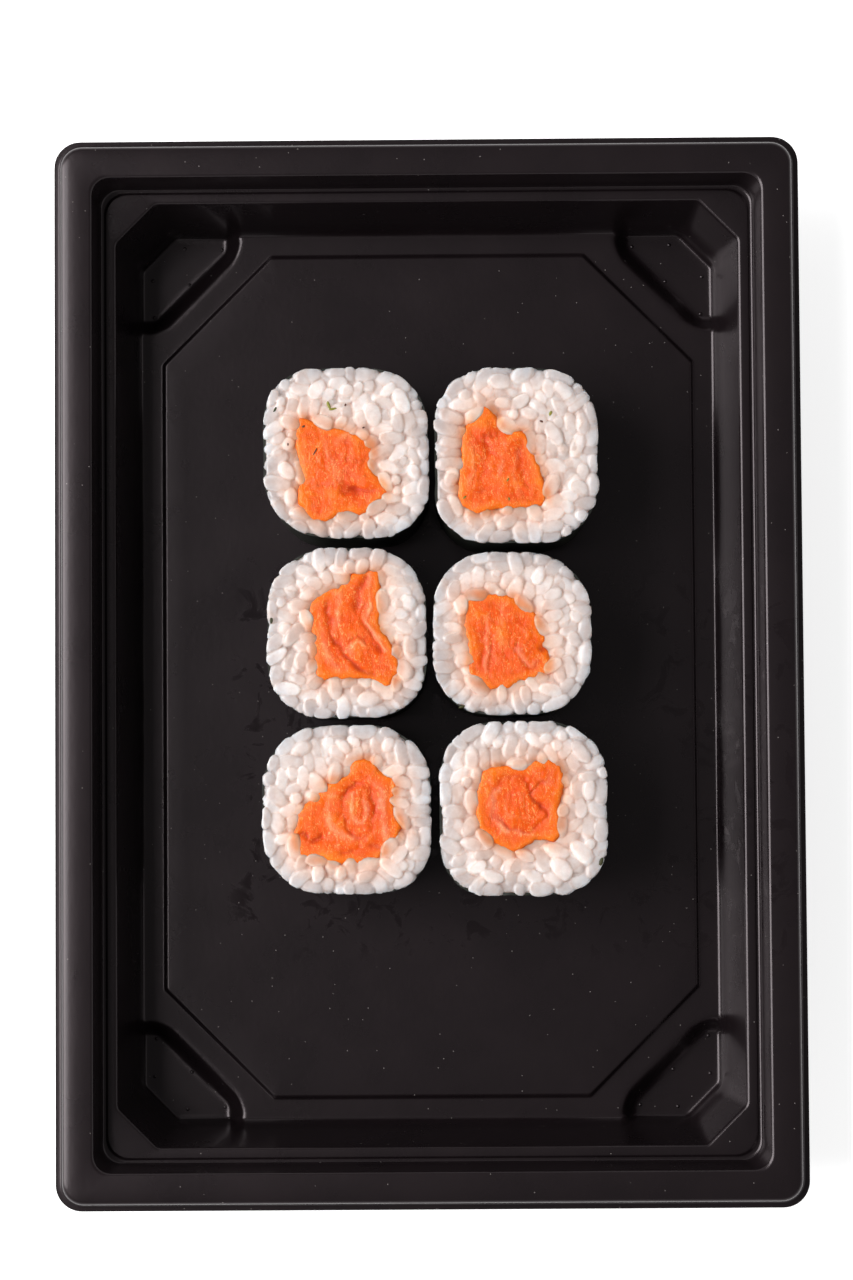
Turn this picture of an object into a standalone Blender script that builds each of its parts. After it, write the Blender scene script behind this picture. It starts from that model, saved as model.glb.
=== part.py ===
"""A takeaway sushi tray: a black thermoformed tray with six salmon rolls standing on end in it.

The origin is at the middle of the underside, on the surface that the tray stands on. X runs across the
tray, Y along it and Z up. All sizes below are in millimetres and become metres when a mesh is made.

The tray is one vacuum-formed sheet. It is made the way its mould works: the air above the sheet is modelled
as a solid, the four sunk corner feet are joined to that air by a Boolean, and the underside of the air
is then the sheet, which gets its thickness from Solidify. Each roll is three solids, one inside the other:
a tube of seaweed, a ring of rice with an uneven top, and a bar of salmon that runs through it.
"""

import math
import random

import bmesh
import bpy
from mathutils import Vector

MM = 0.001

# The tray's outline at the lip, and the two heights that its shape hangs on.
TRAY_WIDTH = 130.8
TRAY_LENGTH = 187.0
RIM_HEIGHT = 25.5
SHEET_THICKNESS = 0.5
HALF_WIDTH = TRAY_WIDTH / 2
LONGER_BY = (TRAY_LENGTH - TRAY_WIDTH) / 2

FLOOR = 3.5  # the top of the floor's border, all round the raised panel
PANEL = 4.2  # the top of the raised panel, which the rolls stand on
FOOT_FLOOR = SHEET_THICKNESS  # the sunk corners' inner floor: their underside is what the tray stands on

# Corner shapes. A ring's corner is a 45 degree chamfer whose two ends are rounded by a radius.
ROUND = 2 - math.sqrt(2)  # the chamfer, as a share of the radius, at which the two roundings meet
LIP_RADIUS = 4.6
HAIR = 0.02  # added to a round corner's chamfer, so that its two arcs don't share a point
WALL_CHAMFER = 7.15  # at the top of the wall
PANEL_CHAMFER = 19.35
WALL_TOP_INSET = 10.1
ARC_STEPS = 3  # faces in each 45 degrees of a corner

# The sheet's top surface from the lip inwards, for corners that are plainly round:
# inset from the lip's edge, height, corner radius.
ROUND_PROFILE = (
    (0.0, 22.5, LIP_RADIUS),  # edge of the turned-out lip
    (0.95, 22.5, 3.8),  # where the lip meets the skirt
    (1.35, 24.6, 3.6),
    (1.5, 25.1, 3.5),
    (1.8, 25.4, 3.4),
    (2.2, RIM_HEIGHT, 3.2),  # the flat rim begins
    (6.3, RIM_HEIGHT, 3.2),  # and ends
    (6.65, 25.36, 3.1),
    (6.95, 24.9, 3.0),
    (7.55, 19.7, 3.6),  # foot of the wall that the lid seats in
    (7.75, 19.0, 3.8),
    (8.3, 18.6, 4.0),
    (8.7, 18.5, 4.0),  # the shelf begins
)

# The wall and its base, whose corners are chamfered: inset, height.
WALL_PROFILE = (
    (9.8, 18.5),  # the shelf ends
    (10.15, 18.38),
    (10.4, 18.0),
    (12.05, 8.5),  # the straight wall ends and the wide curve at its base begins
    (12.5, 6.3),
    (12.95, 4.75),
    (13.4, 3.85),
    (13.95, FLOOR),
)
WALL_RADIUS = 1.2

PANEL_FOOT_INSET = 17.1  # the foot of the small step up to the panel
PANEL_EDGE_INSET = 17.8
PANEL_RADIUS = 0.8

# One sunk corner, seen in the +X +Y quarter, as the half of its outline that runs along the long wall: the
# corner with the chamfer, the end of the wall side, the tip of the round end, the end of the long diagonal.
# The other half is its mirror image in the line y = x + LONGER_BY.
FOOT_RINGS = (
    (FOOT_FLOOR, ((51.1, 72.8), (51.1, 65.4), (50.6, 64.7), (49.4, 64.6))),
    (0.95, ((51.85, 74.1), (51.85, 64.9), (50.9, 64.0), (49.1, 64.3))),
    (FLOOR, ((52.35, 74.95), (52.35, 63.8), (50.0, 62.4), (47.7, 63.1))),
    (9.5, ((52.8, 75.1), (52.8, 63.4), (50.1, 62.1), (47.6, 63.0))),
)

AIR_TOP = 40.0  # the air above the tray is modelled up to here, then its top is taken away
MERGE = 0.002  # points that the Boolean leaves nearer than this become one

# The rolls. Each nests in the one round it with this gap, and stands this far off the panel.
GAP = 0.3
NORI_THICKNESS = 0.4
ROLL_POINTS = 32
OUTLINE_STEPS = 6  # points made from each given point of a salmon outline
PARALLEL = 1e-9  # a line and an edge that turn less than this from each other never meet
RICE_SWELL = 0.7  # how far the rice stands above the seaweed's edge

# The uneven rings of a roll's cut face. For rice: how far in from the skin towards the fish, as a share,
# height above the seaweed's edge, and how much the points differ.
RICE_RINGS = (
    (0.0, 0.1, 0.1),
    (0.12, RICE_SWELL, 0.2),
    (0.55, RICE_SWELL, 0.3),
    (1.0, RICE_SWELL - 0.2, 0.2),
)
# For salmon: how far in towards the middle, height above the seaweed's edge, and how much the points differ.
SALMON_RINGS = (
    (0.0, RICE_SWELL - 0.6, 0.15),
    (0.12, RICE_SWELL, 0.2),
    (0.6, RICE_SWELL, 0.25),
)

# Each roll: centre, size across and along the tray, height, corner radii anticlockwise from +X +Y, and the
# outline of its salmon about the roll's centre.
ROLLS = {
    "roll_1": {
        "centre": (-14.15, 37.6),
        "size": (28.9, 29.8),
        "height": 24.0,
        "corners": (10.6, 9.2, 11.2, 9.2),
        "salmon": (
            (-7.9, 5.9), (-3.6, 4.8), (0.8, 3.5), (4.0, 2.2), (4.8, -0.5), (4.6, -3.0), (7.2, -6.5),
            (5.2, -9.0), (3.0, -10.4), (-1.0, -10.6), (-4.4, -11.9), (-7.7, -9.2), (-8.3, -6.5), (-7.3, -4.0),
            (-8.5, 1.2),
        ),
    },
    "roll_2": {
        "centre": (15.35, 36.95),
        "size": (28.5, 30.6),
        "height": 24.3,
        "corners": (10.4, 9.8, 9.0, 10.2),
        "salmon": (
            (-5.4, 8.7), (-3.7, 7.3), (-2.6, 5.4), (-0.6, 4.2), (1.5, 3.9), (2.8, 0.4), (4.4, -3.6),
            (5.2, -7.4), (3.4, -9.0), (-3.6, -9.4), (-7.8, -9.7), (-10.0, -6.2), (-9.5, -0.8), (-8.9, 5.0),
            (-7.1, 6.3),
        ),
    },
    "roll_3": {
        "centre": (-14.15, 6.4),
        "size": (27.7, 29.5),
        "height": 24.1,
        "corners": (10.4, 10.6, 9.6, 9.2),
        "salmon": (
            (4.6, 10.8), (5.8, 9.6), (5.8, 4.5), (5.6, 0.8), (7.8, -2.0), (8.8, -6.0), (7.2, -9.1),
            (4.0, -8.0), (-1.6, -7.8), (-4.2, -7.9), (-5.6, -5.8), (-5.5, -1.6), (-6.6, 3.2), (-4.8, 6.2),
            (-1.0, 8.1), (0.8, 9.9),
        ),
    },
    "roll_4": {
        "centre": (14.45, 6.1),
        "size": (27.5, 28.3),
        "height": 23.7,
        "corners": (11.2, 9.8, 9.8, 10.4),
        "salmon": (
            (-7.7, 6.4), (-0.8, 6.6), (1.9, 4.9), (3.9, 3.0), (5.6, -1.4), (6.1, -6.4), (2.8, -7.7),
            (0.2, -8.9), (-3.6, -9.6), (-7.3, -7.0), (-7.4, -3.0), (-8.2, 2.6),
        ),
    },
    "roll_5": {
        "centre": (-14.35, -24.1),
        "size": (29.3, 29.2),
        "height": 24.2,
        "corners": (10.6, 11.0, 10.8, 9.0),
        "salmon": (
            (1.4, 8.2), (4.4, 8.4), (5.9, 6.5), (8.7, 4.6), (8.0, 1.4), (9.3, -3.0), (7.4, -6.0),
            (4.7, -8.9), (-0.8, -9.3), (-4.6, -8.3), (-7.6, -7.9), (-9.0, -4.2), (-8.2, -0.6), (-5.6, 2.2),
            (-3.4, 4.7), (-0.3, 5.6),
        ),
    },
    "roll_6": {
        "centre": (16.1, -24.1),
        "size": (29.1, 30.2),
        "height": 24.5,
        "corners": (10.4, 9.6, 8.6, 9.4),
        "salmon": (
            (-7.0, 6.3), (-4.4, 7.2), (-0.1, 7.2), (2.6, 8.2), (5.5, 8.1), (6.9, 4.8), (6.2, 0.6),
            (6.3, -4.0), (4.9, -5.6), (1.9, -5.4), (-1.6, -7.4), (-4.2, -6.4), (-6.6, -4.6), (-8.1, -1.0),
            (-7.9, 2.4),
        ),
    },
}


def clear_scene():
    for old in list(bpy.data.objects):
        bpy.data.objects.remove(old)


def material(name, colour, roughness):
    made = bpy.data.materials.new(name)
    made.use_nodes = True
    shader = made.node_tree.nodes["Principled BSDF"]
    shader.inputs["Base Color"].default_value = (*colour, 1)
    shader.inputs["Roughness"].default_value = roughness
    shader.inputs["Metallic"].default_value = 0
    return made


def make_object(name, bm, finish=None):
    """A scene object from a mesh in millimetres, with its faces pointing out."""
    bmesh.ops.scale(bm, vec=(MM, MM, MM), verts=bm.verts)
    bmesh.ops.recalc_face_normals(bm, faces=bm.faces)
    mesh = bpy.data.meshes.new(name)
    bm.to_mesh(mesh)
    bm.free()
    made = bpy.data.objects.new(name, mesh)
    bpy.context.collection.objects.link(made)
    if finish:
        mesh.materials.append(finish)
    return made


def loft(bm, rings, cap_first=True, cap_last=True):
    """Joins closed rings of the same number of points, each to the next, and caps the two ends."""
    for lower, upper in zip(rings, rings[1:]):
        for i in range(len(lower)):
            j = (i + 1) % len(lower)
            bm.faces.new((lower[i], lower[j], upper[j], upper[i]))
    if cap_first:
        bm.faces.new(rings[0][::-1])
    if cap_last:
        bm.faces.new(rings[-1])


def add_ring(bm, outline, height):
    return [bm.verts.new((x, y, height)) for x, y in outline]


# --- the tray ---------------------------------------------------------------------------------------------


def corner_outline(half_x, half_y, chamfer, radius):
    """A rectangle whose corners are chamfered at 45 degrees, with both ends of each chamfer rounded."""
    tangent = radius * math.tan(math.pi / 8)
    outline = []
    for quarter in range(4):
        along, across = (half_x, half_y) if quarter % 2 == 0 else (half_y, half_x)
        centres = (
            (along - radius, across - chamfer - tangent),
            (along - chamfer - tangent, across - radius),
        )
        for arc, (x, y) in enumerate(centres):
            for step in range(ARC_STEPS + 1):
                angle = (arc + step / ARC_STEPS) * math.pi / 4
                point = Vector((x + radius * math.cos(angle), y + radius * math.sin(angle)))
                turn = (point, Vector((-point.y, point.x)), -point, Vector((point.y, -point.x)))
                outline.append(tuple(turn[quarter]))
    return outline


def tray_outline(inset, chamfer, radius):
    half_x = HALF_WIDTH - inset
    return corner_outline(half_x, half_x + LONGER_BY, chamfer, radius)


def air_above_tray():
    """The space over the sheet, from the middle of the floor to the lip and up to AIR_TOP, as a solid."""
    bm = bmesh.new()
    outside = tray_outline(0, LIP_RADIUS * ROUND, LIP_RADIUS)
    rings = [add_ring(bm, outside, AIR_TOP)]
    for inset, height, radius in ROUND_PROFILE:
        rings.append(add_ring(bm, tray_outline(inset, radius * ROUND + HAIR, radius), height))
    for inset, height in WALL_PROFILE:
        chamfer = WALL_CHAMFER - ROUND * (inset - WALL_TOP_INSET)
        rings.append(add_ring(bm, tray_outline(inset, chamfer, WALL_RADIUS), height))
    step_run = PANEL_EDGE_INSET - PANEL_FOOT_INSET
    for inset, height in ((PANEL_FOOT_INSET, FLOOR), (PANEL_EDGE_INSET, PANEL)):
        chamfer = PANEL_CHAMFER + ROUND * step_run * (inset == PANEL_FOOT_INSET)
        rings.append(add_ring(bm, tray_outline(inset, chamfer, PANEL_RADIUS), height))
    loft(bm, rings)
    return make_object("air", bm)


def foot_outline(half):
    """A sunk corner's whole outline from the half along the long wall."""
    mirrored = [(y - LONGER_BY, x + LONGER_BY) for x, y in half]
    return list(half)[::-1] + mirrored


def foot_air(sign_x, sign_y):
    bm = bmesh.new()
    rings = []
    for height, half in FOOT_RINGS:
        outline = [(x * sign_x, y * sign_y) for x, y in foot_outline(half)]
        rings.append(add_ring(bm, outline, height))
    loft(bm, rings)
    made = make_object("foot_air", bm)
    made.hide_render = True
    made.display_type = "WIRE"
    return made


def make_tray(finish):
    air = air_above_tray()
    for sign_x in (-1, 1):
        for sign_y in (-1, 1):
            joint = air.modifiers.new("sunk corner", "BOOLEAN")
            joint.operation = "UNION"
            joint.solver = "EXACT"
            joint.object = foot_air(sign_x, sign_y)
    bpy.context.view_layer.update()
    graph = bpy.context.evaluated_depsgraph_get()
    mesh = bpy.data.meshes.new_from_object(air.evaluated_get(graph))
    bpy.data.objects.remove(air)

    # Only the underside of the air is sheet: its top and its outer side go.
    bm = bmesh.new()
    bm.from_mesh(mesh)
    top = (AIR_TOP - MERGE) * MM
    above = [face for face in bm.faces if any(vert.co.z > top for vert in face.verts)]
    bmesh.ops.delete(bm, geom=above, context="FACES")
    bmesh.ops.remove_doubles(bm, verts=bm.verts, dist=MERGE * MM)
    bmesh.ops.dissolve_degenerate(bm, edges=bm.edges, dist=MERGE * MM)
    bmesh.ops.reverse_faces(bm, faces=bm.faces)
    bm.to_mesh(mesh)
    bm.free()
    mesh.name = "tray"
    mesh.materials.clear()
    mesh.materials.append(finish)
    tray = bpy.data.objects.new("tray", mesh)
    bpy.context.collection.objects.link(tray)
    sheet = tray.modifiers.new("sheet", "SOLIDIFY")
    sheet.thickness = SHEET_THICKNESS * MM
    sheet.offset = -1
    sheet.use_even_offset = True
    return tray


# --- the rolls --------------------------------------------------------------------------------------------


def rounded_square(size, corners, shrink):
    """A roll's outline about its centre: a rectangle with four corner radii, every side moved in by shrink."""
    half_x = size[0] / 2 - shrink
    half_y = size[1] / 2 - shrink
    outline = []
    steps = ROLL_POINTS // 4 - 1
    for quarter, corner in enumerate(corners):
        radius = corner - shrink
        sign_x = (1, -1, -1, 1)[quarter]
        sign_y = (1, 1, -1, -1)[quarter]
        for step in range(steps + 1):
            angle = (quarter + step / steps) * math.pi / 2
            x = sign_x * (half_x - radius) + radius * math.cos(angle)
            y = sign_y * (half_y - radius) + radius * math.sin(angle)
            outline.append((x, y))
    return outline


def smooth_loop(points):
    """A closed Catmull-Rom curve through the points."""
    loop = []
    count = len(points)
    for i in range(count):
        a, b, c, d = (Vector(points[(i + k) % count]) for k in (-1, 0, 1, 2))
        for step in range(OUTLINE_STEPS):
            t = step / OUTLINE_STEPS
            point = b * 2 + (c - a) * t + (a * 2 - b * 5 + c * 4 - d) * t**2 + (b * 3 - a - c * 3 + d) * t**3
            loop.append(point / 2)
    return loop


def reach(loop, centre, angle):
    """How far the loop lies from the centre in this direction, at the furthest."""
    way = Vector((math.cos(angle), math.sin(angle)))
    furthest = 0.0
    for i in range(len(loop)):
        start = Vector(loop[i]) - centre
        edge = Vector(loop[(i + 1) % len(loop)]) - centre - start
        turn = way.cross(edge)
        if abs(turn) < PARALLEL:
            continue
        distance = start.cross(edge) / turn
        share = start.cross(way) / turn
        if distance > furthest and 0 <= share <= 1:
            furthest = distance
    return furthest


def polar_outline(loop, centre, grow=0.0):
    """The loop sampled at even angles about the centre, each point moved outwards by grow."""
    outline = []
    for i in range(ROLL_POINTS):
        angle = 2 * math.pi * i / ROLL_POINTS
        distance = reach(loop, centre, angle) + grow
        outline.append((centre.x + distance * math.cos(angle), centre.y + distance * math.sin(angle)))
    return outline


def between(outer, inner, share):
    return [(a[0] + (b[0] - a[0]) * share, a[1] + (b[1] - a[1]) * share) for a, b in zip(outer, inner)]


def moved(outline, centre):
    return [(x + centre[0], y + centre[1]) for x, y in outline]


def uneven_ring(bm, outline, height, spread, dice):
    return [bm.verts.new((x, y, height + dice.uniform(-spread, spread))) for x, y in outline]


def make_nori(name, roll, finish):
    bottom = PANEL + GAP
    top = bottom + roll["height"]
    outer = moved(rounded_square(roll["size"], roll["corners"], 0), roll["centre"])
    inner = moved(rounded_square(roll["size"], roll["corners"], NORI_THICKNESS), roll["centre"])
    bm = bmesh.new()
    rings = [
        add_ring(bm, inner, bottom),
        add_ring(bm, outer, bottom),
        add_ring(bm, outer, top),
        add_ring(bm, inner, top),
    ]
    loft(bm, rings + rings[:1], cap_first=False, cap_last=False)
    make_object(name + "_nori", bm, finish)


def make_rice(name, roll, finish, dice):
    bottom = PANEL + GAP
    top = bottom + roll["height"]
    salmon = smooth_loop(roll["salmon"])
    middle = sum(salmon, Vector((0, 0))) / len(salmon)
    skin = rounded_square(roll["size"], roll["corners"], NORI_THICKNESS + GAP)
    outer = polar_outline(skin, middle)
    hole = polar_outline(salmon, middle, GAP)
    centre = roll["centre"]
    bm = bmesh.new()
    rings = [
        add_ring(bm, moved(hole, centre), bottom),
        add_ring(bm, moved(outer, centre), bottom),
    ]
    for share, height, spread in RICE_RINGS:
        here = moved(between(outer, hole, share), centre)
        rings.append(uneven_ring(bm, here, top + height, spread, dice))
    loft(bm, rings + rings[:1], cap_first=False, cap_last=False)
    make_object(name + "_rice", bm, finish)


def make_salmon(name, roll, finish, dice):
    bottom = PANEL + GAP
    top = bottom + roll["height"]
    loop = smooth_loop(roll["salmon"])
    middle = sum(loop, Vector((0, 0))) / len(loop)
    outline = polar_outline(loop, middle)
    core = [tuple(middle)] * ROLL_POINTS
    centre = roll["centre"]
    bm = bmesh.new()
    rings = [add_ring(bm, moved(outline, centre), bottom)]
    for share, height, spread in SALMON_RINGS:
        here = moved(between(outline, core, share), centre)
        rings.append(uneven_ring(bm, here, top + height, spread, dice))
    loft(bm, rings)
    make_object(name + "_salmon", bm, finish)


def main():
    clear_scene()
    make_tray(material("black_sheet_plastic", (0.012, 0.010, 0.011), 0.35))
    nori = material("roasted_seaweed", (0.008, 0.010, 0.007), 0.6)
    rice = material("cooked_rice", (0.78, 0.70, 0.64), 0.4)
    salmon = material("raw_salmon", (0.90, 0.21, 0.03), 0.35)
    for number, (name, roll) in enumerate(ROLLS.items()):
        dice = random.Random(number)
        make_nori(name, roll, nori)
        make_rice(name, roll, rice, dice)
        make_salmon(name, roll, salmon, dice)


main()
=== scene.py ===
# %% [markdown]
# # A takeaway sushi tray with six salmon rolls
#
# The real thing is one black sheet of plastic, sucked hot over a mould, with six pieces of a square salmon
# roll standing on end in it. Each piece has three materials in it: a skin of roasted seaweed, a bed of
# cooked rice grains and a bar of raw salmon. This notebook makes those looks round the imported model, which
# fixes every size and place. It starts by loading that model and noting its box.

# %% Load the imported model
import math

import bmesh
import bpy
import numpy as np
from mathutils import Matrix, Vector, noise


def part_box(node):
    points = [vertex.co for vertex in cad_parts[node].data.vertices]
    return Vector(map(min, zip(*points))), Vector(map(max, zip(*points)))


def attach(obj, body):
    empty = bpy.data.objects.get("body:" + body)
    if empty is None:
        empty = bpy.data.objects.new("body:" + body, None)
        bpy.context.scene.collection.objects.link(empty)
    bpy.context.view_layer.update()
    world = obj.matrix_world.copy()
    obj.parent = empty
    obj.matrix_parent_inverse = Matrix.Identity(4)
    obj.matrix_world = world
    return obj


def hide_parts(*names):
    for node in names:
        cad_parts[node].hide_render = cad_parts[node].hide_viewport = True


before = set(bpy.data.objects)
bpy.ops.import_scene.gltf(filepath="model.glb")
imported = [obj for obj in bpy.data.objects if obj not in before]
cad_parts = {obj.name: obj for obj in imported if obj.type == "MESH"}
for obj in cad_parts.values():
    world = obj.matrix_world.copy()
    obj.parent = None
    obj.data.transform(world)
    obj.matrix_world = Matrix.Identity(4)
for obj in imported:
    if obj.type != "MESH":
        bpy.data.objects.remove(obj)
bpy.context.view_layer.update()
MM = 0.001
print("nodes:", len(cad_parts))

# %% [markdown]
# ## Small helpers
#
# Colours are picked as sRGB hex values, the way a colour picker shows them, and one function turns them to
# the linear values that a shader needs. Another adds one shader node with its settings and its links, so
# that a material reads as a list of nodes, and a few short ones build on it for the steps that come back in
# every material.

# %% Helpers for colours and nodes
def linear(hex_colour):
    values = [int(hex_colour[i : i + 2], 16) / 255 for i in (1, 3, 5)]
    return [v / 12.92 if v <= 0.04045 else ((v + 0.055) / 1.055) ** 2.4 for v in values] + [1.0]


def add_node(tree, kind, settings=(), links=()):
    """Adds a node. A setting is an input's name or number, or else a property; a link feeds an input."""
    node = tree.nodes.new(kind)
    for key, value in dict(settings).items():
        if isinstance(key, int) or key in node.inputs:
            node.inputs[key].default_value = value
        else:
            setattr(node, key, value)
    for key, source in dict(links).items():
        tree.links.new(source, node.inputs[key])
    return node


def new_material(name):
    made = bpy.data.materials.new(name)
    made.use_nodes = True
    tree = made.node_tree
    return made, tree, tree.nodes["Principled BSDF"]


def ramp(tree, source, stops):
    """A colour ramp with these (position, hex colour) stops."""
    node = add_node(tree, "ShaderNodeValToRGB", links={"Fac": source})
    while len(node.color_ramp.elements) < len(stops):
        node.color_ramp.elements.new(0.5)
    for element, (position, colour) in zip(node.color_ramp.elements, stops):
        element.position = position
        element.color = linear(colour)
    return node.outputs["Color"]


def set_inputs(shader, values):
    for name, value in values.items():
        shader.inputs[name].default_value = value


def kept_mark(tree, mark):
    """A value that was kept on the mesh's points under this name."""
    return add_node(tree, "ShaderNodeAttribute", {"attribute_name": mark}).outputs["Fac"]


def tinted(tree, share, below, colour, blend="MIX"):
    """The colour below, with this share of a hex colour mixed in."""
    settings = {"data_type": "RGBA", "blend_type": blend, 7: linear(colour)}
    return add_node(tree, "ShaderNodeMix", settings, {0: share, 6: below}).outputs[2]


def product(tree, first, second):
    return add_node(tree, "ShaderNodeMath", {"operation": "MULTIPLY"}, {0: first, 1: second}).outputs[0]


def rough_up(tree, shader, height, strength, depth):
    """Lets a pattern raise and lower the surface by up to this depth in mm."""
    settings = {"Strength": strength, "Distance": depth * MM}
    bump = add_node(tree, "ShaderNodeBump", settings, {"Height": height})
    tree.links.new(bump.outputs[0], shader.inputs["Normal"])


def per_mm(size):
    """The scale of a pattern whose features are this many millimetres across, on coordinates in metres."""
    return 1 / (size * MM)


print("a mid grey of #808080 is", round(linear("#808080")[0], 3), "in linear light")

# %% [markdown]
# ## Finishing a piece
#
# Blender's operators act on what is selected and active, so that is set first each time. Parts that are
# made one by one are joined into a single mesh. The pieces all end the same way: given their name and
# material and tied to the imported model, so that each rides with it and takes the place of the plain part
# that it dresses.

# %% Helpers for finished pieces
def activate(obj):
    bpy.ops.object.select_all(action="DESELECT")
    obj.select_set(True)
    bpy.context.view_layer.objects.active = obj


def joined(parts):
    activate(parts[0])
    for part in parts:
        part.select_set(True)
    bpy.ops.object.join()
    bpy.ops.object.shade_smooth()
    return parts[0]


def finish_piece(obj, name, material, replaced=()):
    obj.name = name
    obj.data.name = name
    obj.data.materials.clear()
    obj.data.materials.append(material)
    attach(obj, "root")
    if replaced:
        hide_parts(*replaced)
    print(name, len(obj.data.polygons), "faces")

# %% [markdown]
# ## Camera
#
# The view is from straight above, about half a metre up, with a lens a little longer than normal and turned
# by two or three degrees, so the tray's walls show a little on each side and the rim looks larger than the
# base.

# %% Camera
CAMERA_PLACE = (0.00294, -0.01816, 0.5555)
CAMERA_TURN = (0.044, 0.0066, -0.0067)
camera_data = bpy.data.cameras.new("camera")
camera_data.sensor_fit = "VERTICAL"
camera_data.sensor_height = 24
camera_data.lens = 57.25
camera = bpy.data.objects.new("camera", camera_data)
camera.location = CAMERA_PLACE
camera.rotation_euler = CAMERA_TURN
bpy.context.scene.collection.objects.link(camera)
bpy.context.scene.camera = camera
print("camera:", CAMERA_PLACE[2], "m up, with a lens of", camera_data.lens, "mm")

# %% [markdown]
# ## A grid that is laid on rings
#
# Sheet plastic, seaweed and fish are all shapes whose cross-section changes slowly along or around them.
# Each can start as a flat grid, as if it were a sheet of dough, whose rows are laid on rings of points and
# whose two ends are then sewn together. A ring drawn in to one point closes its end. The grid gives clean,
# even faces that shade smoothly, which a Boolean wouldn't. The rings come from formulas in the cells that
# follow.

# %% Grid helper
SEW = 0.0005  # how near two points lie, in millimetres, to be sewn together


def laid_on(points):
    """A grid primitive with its rows laid on rings of points in mm, sewn where two points meet."""
    rings, columns = points.shape[:2]
    bpy.ops.object.select_all(action="DESELECT")
    bpy.ops.mesh.primitive_grid_add(x_subdivisions=columns, y_subdivisions=rings - 1, size=1)
    made = bpy.context.object
    closed = np.concatenate([points, points[:, :1]], axis=1)
    made.data.vertices.foreach_set("co", (closed * MM).ravel())
    bpy.ops.object.mode_set(mode="EDIT")
    bpy.ops.mesh.select_all(action="SELECT")
    bpy.ops.mesh.remove_doubles(threshold=SEW * MM)
    bpy.ops.object.mode_set(mode="OBJECT")
    bpy.ops.object.shade_smooth()
    return made


def face_outwards(obj):
    activate(obj)
    bpy.ops.object.mode_set(mode="EDIT")
    bpy.ops.mesh.select_all(action="SELECT")
    bpy.ops.mesh.normals_make_consistent(inside=False)
    bpy.ops.object.mode_set(mode="OBJECT")


def vertex_places(obj):
    places = np.empty(len(obj.data.vertices) * 3)
    obj.data.vertices.foreach_get("co", places)
    return places.reshape(-1, 3) / MM


def keep_marks(obj, marks):
    """Keeps these named values on the mesh's points, where a material can read them."""
    for mark, values in marks.items():
        obj.data.attributes.new(mark, "FLOAT", "POINT").data.foreach_set("value", values)


def smoothstep(low, high, value):
    share = np.clip((value - low) / (high - low), 0, 1)
    return share * share * (3 - 2 * share)


print("points nearer than", SEW, "mm are sewn together")

# %% [markdown]
# ## The tray's outline
#
# Every level of the tray is a rectangle, with round corners at the lip and rim, and with chamfered corners
# whose two ends are rounded further down. One function gives such an outline with a fixed number of points:
# many round each corner, where the shape is busy, and few along the straight sides.

# %% Outline of one level of the tray
LOWEST, HIGHEST = (np.array(corner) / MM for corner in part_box("tray"))
HALF_WIDTH = HIGHEST[0]
LONGER_BY = HIGHEST[1] - HIGHEST[0]
RIM_HEIGHT = HIGHEST[2]
SHEET = 0.5
ROUND = 2 - math.sqrt(2)  # the chamfer, as a share of the radius, at which the two roundings meet
ANCHOR_X = 27.0  # the busy stretch of each side begins here, from the middle of the short side
ANCHOR_Y = ANCHOR_X + LONGER_BY
CORNER_COLUMNS = 112
LONG_COLUMNS = 12
SHORT_COLUMNS = 6
ARC_STEPS = 10


def circle_way(turn):
    return np.stack([np.cos(turn), np.sin(turn)], 1)


def tray_outline(inset, chamfer, radius):
    """The level's outline, as points in the plane, anticlockwise from the long side at +X."""
    half_x = HALF_WIDTH - inset
    half_y = half_x + LONGER_BY
    tangent = radius * math.tan(math.pi / 8)
    turn = np.linspace(0, math.pi / 4, ARC_STEPS)
    first = circle_way(turn) * radius + (half_x - radius, half_y - chamfer - tangent)
    second = circle_way(turn + math.pi / 4) * radius + (half_x - chamfer - tangent, half_y - radius)
    path = np.concatenate([[(half_x, ANCHOR_Y)], first, second, [(ANCHOR_X, half_y)]])
    along = np.concatenate([[0], np.cumsum(np.linalg.norm(np.diff(path, axis=0), axis=1))])
    even = np.linspace(0, along[-1], CORNER_COLUMNS)
    corner = np.stack([np.interp(even, along, path[:, 0]), np.interp(even, along, path[:, 1])], 1)
    corners = [corner, corner[::-1] * (-1, 1), corner * (-1, -1), corner[::-1] * (1, -1)]
    outline = []
    for number, this in enumerate(corners):
        following = corners[(number + 1) % 4]
        steps = (SHORT_COLUMNS, LONG_COLUMNS)[number % 2]
        share = np.linspace(0, 1, steps + 1)[1:-1, None]
        outline += [this, this[-1] * (1 - share) + following[0] * share]
    return np.concatenate(outline)


print("an outline has", len(tray_outline(0, 1, 1)), "points")

# %% [markdown]
# ## From the lip to the shelf
#
# At the edge the sheet turns out into a narrow flat lip, rises in a short skirt to the flat rim, drops down
# the seat that a clear lid clicks into, and runs in along a shelf to the top of the wall. Heat and vacuum
# pull the sheet over the mould, so no bend is sharp: each gets its own radius. The profile is a few
# straight runs, and a function rounds their corners.

# %% Lip, rim, seat and shelf
LIP_HEIGHT = 22.5
SHELF_HEIGHT = 18.5
WALL_SLANT = 0.1737  # how far the wall leans in for each millimetre down
WALL_TOP = 10.31
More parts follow.
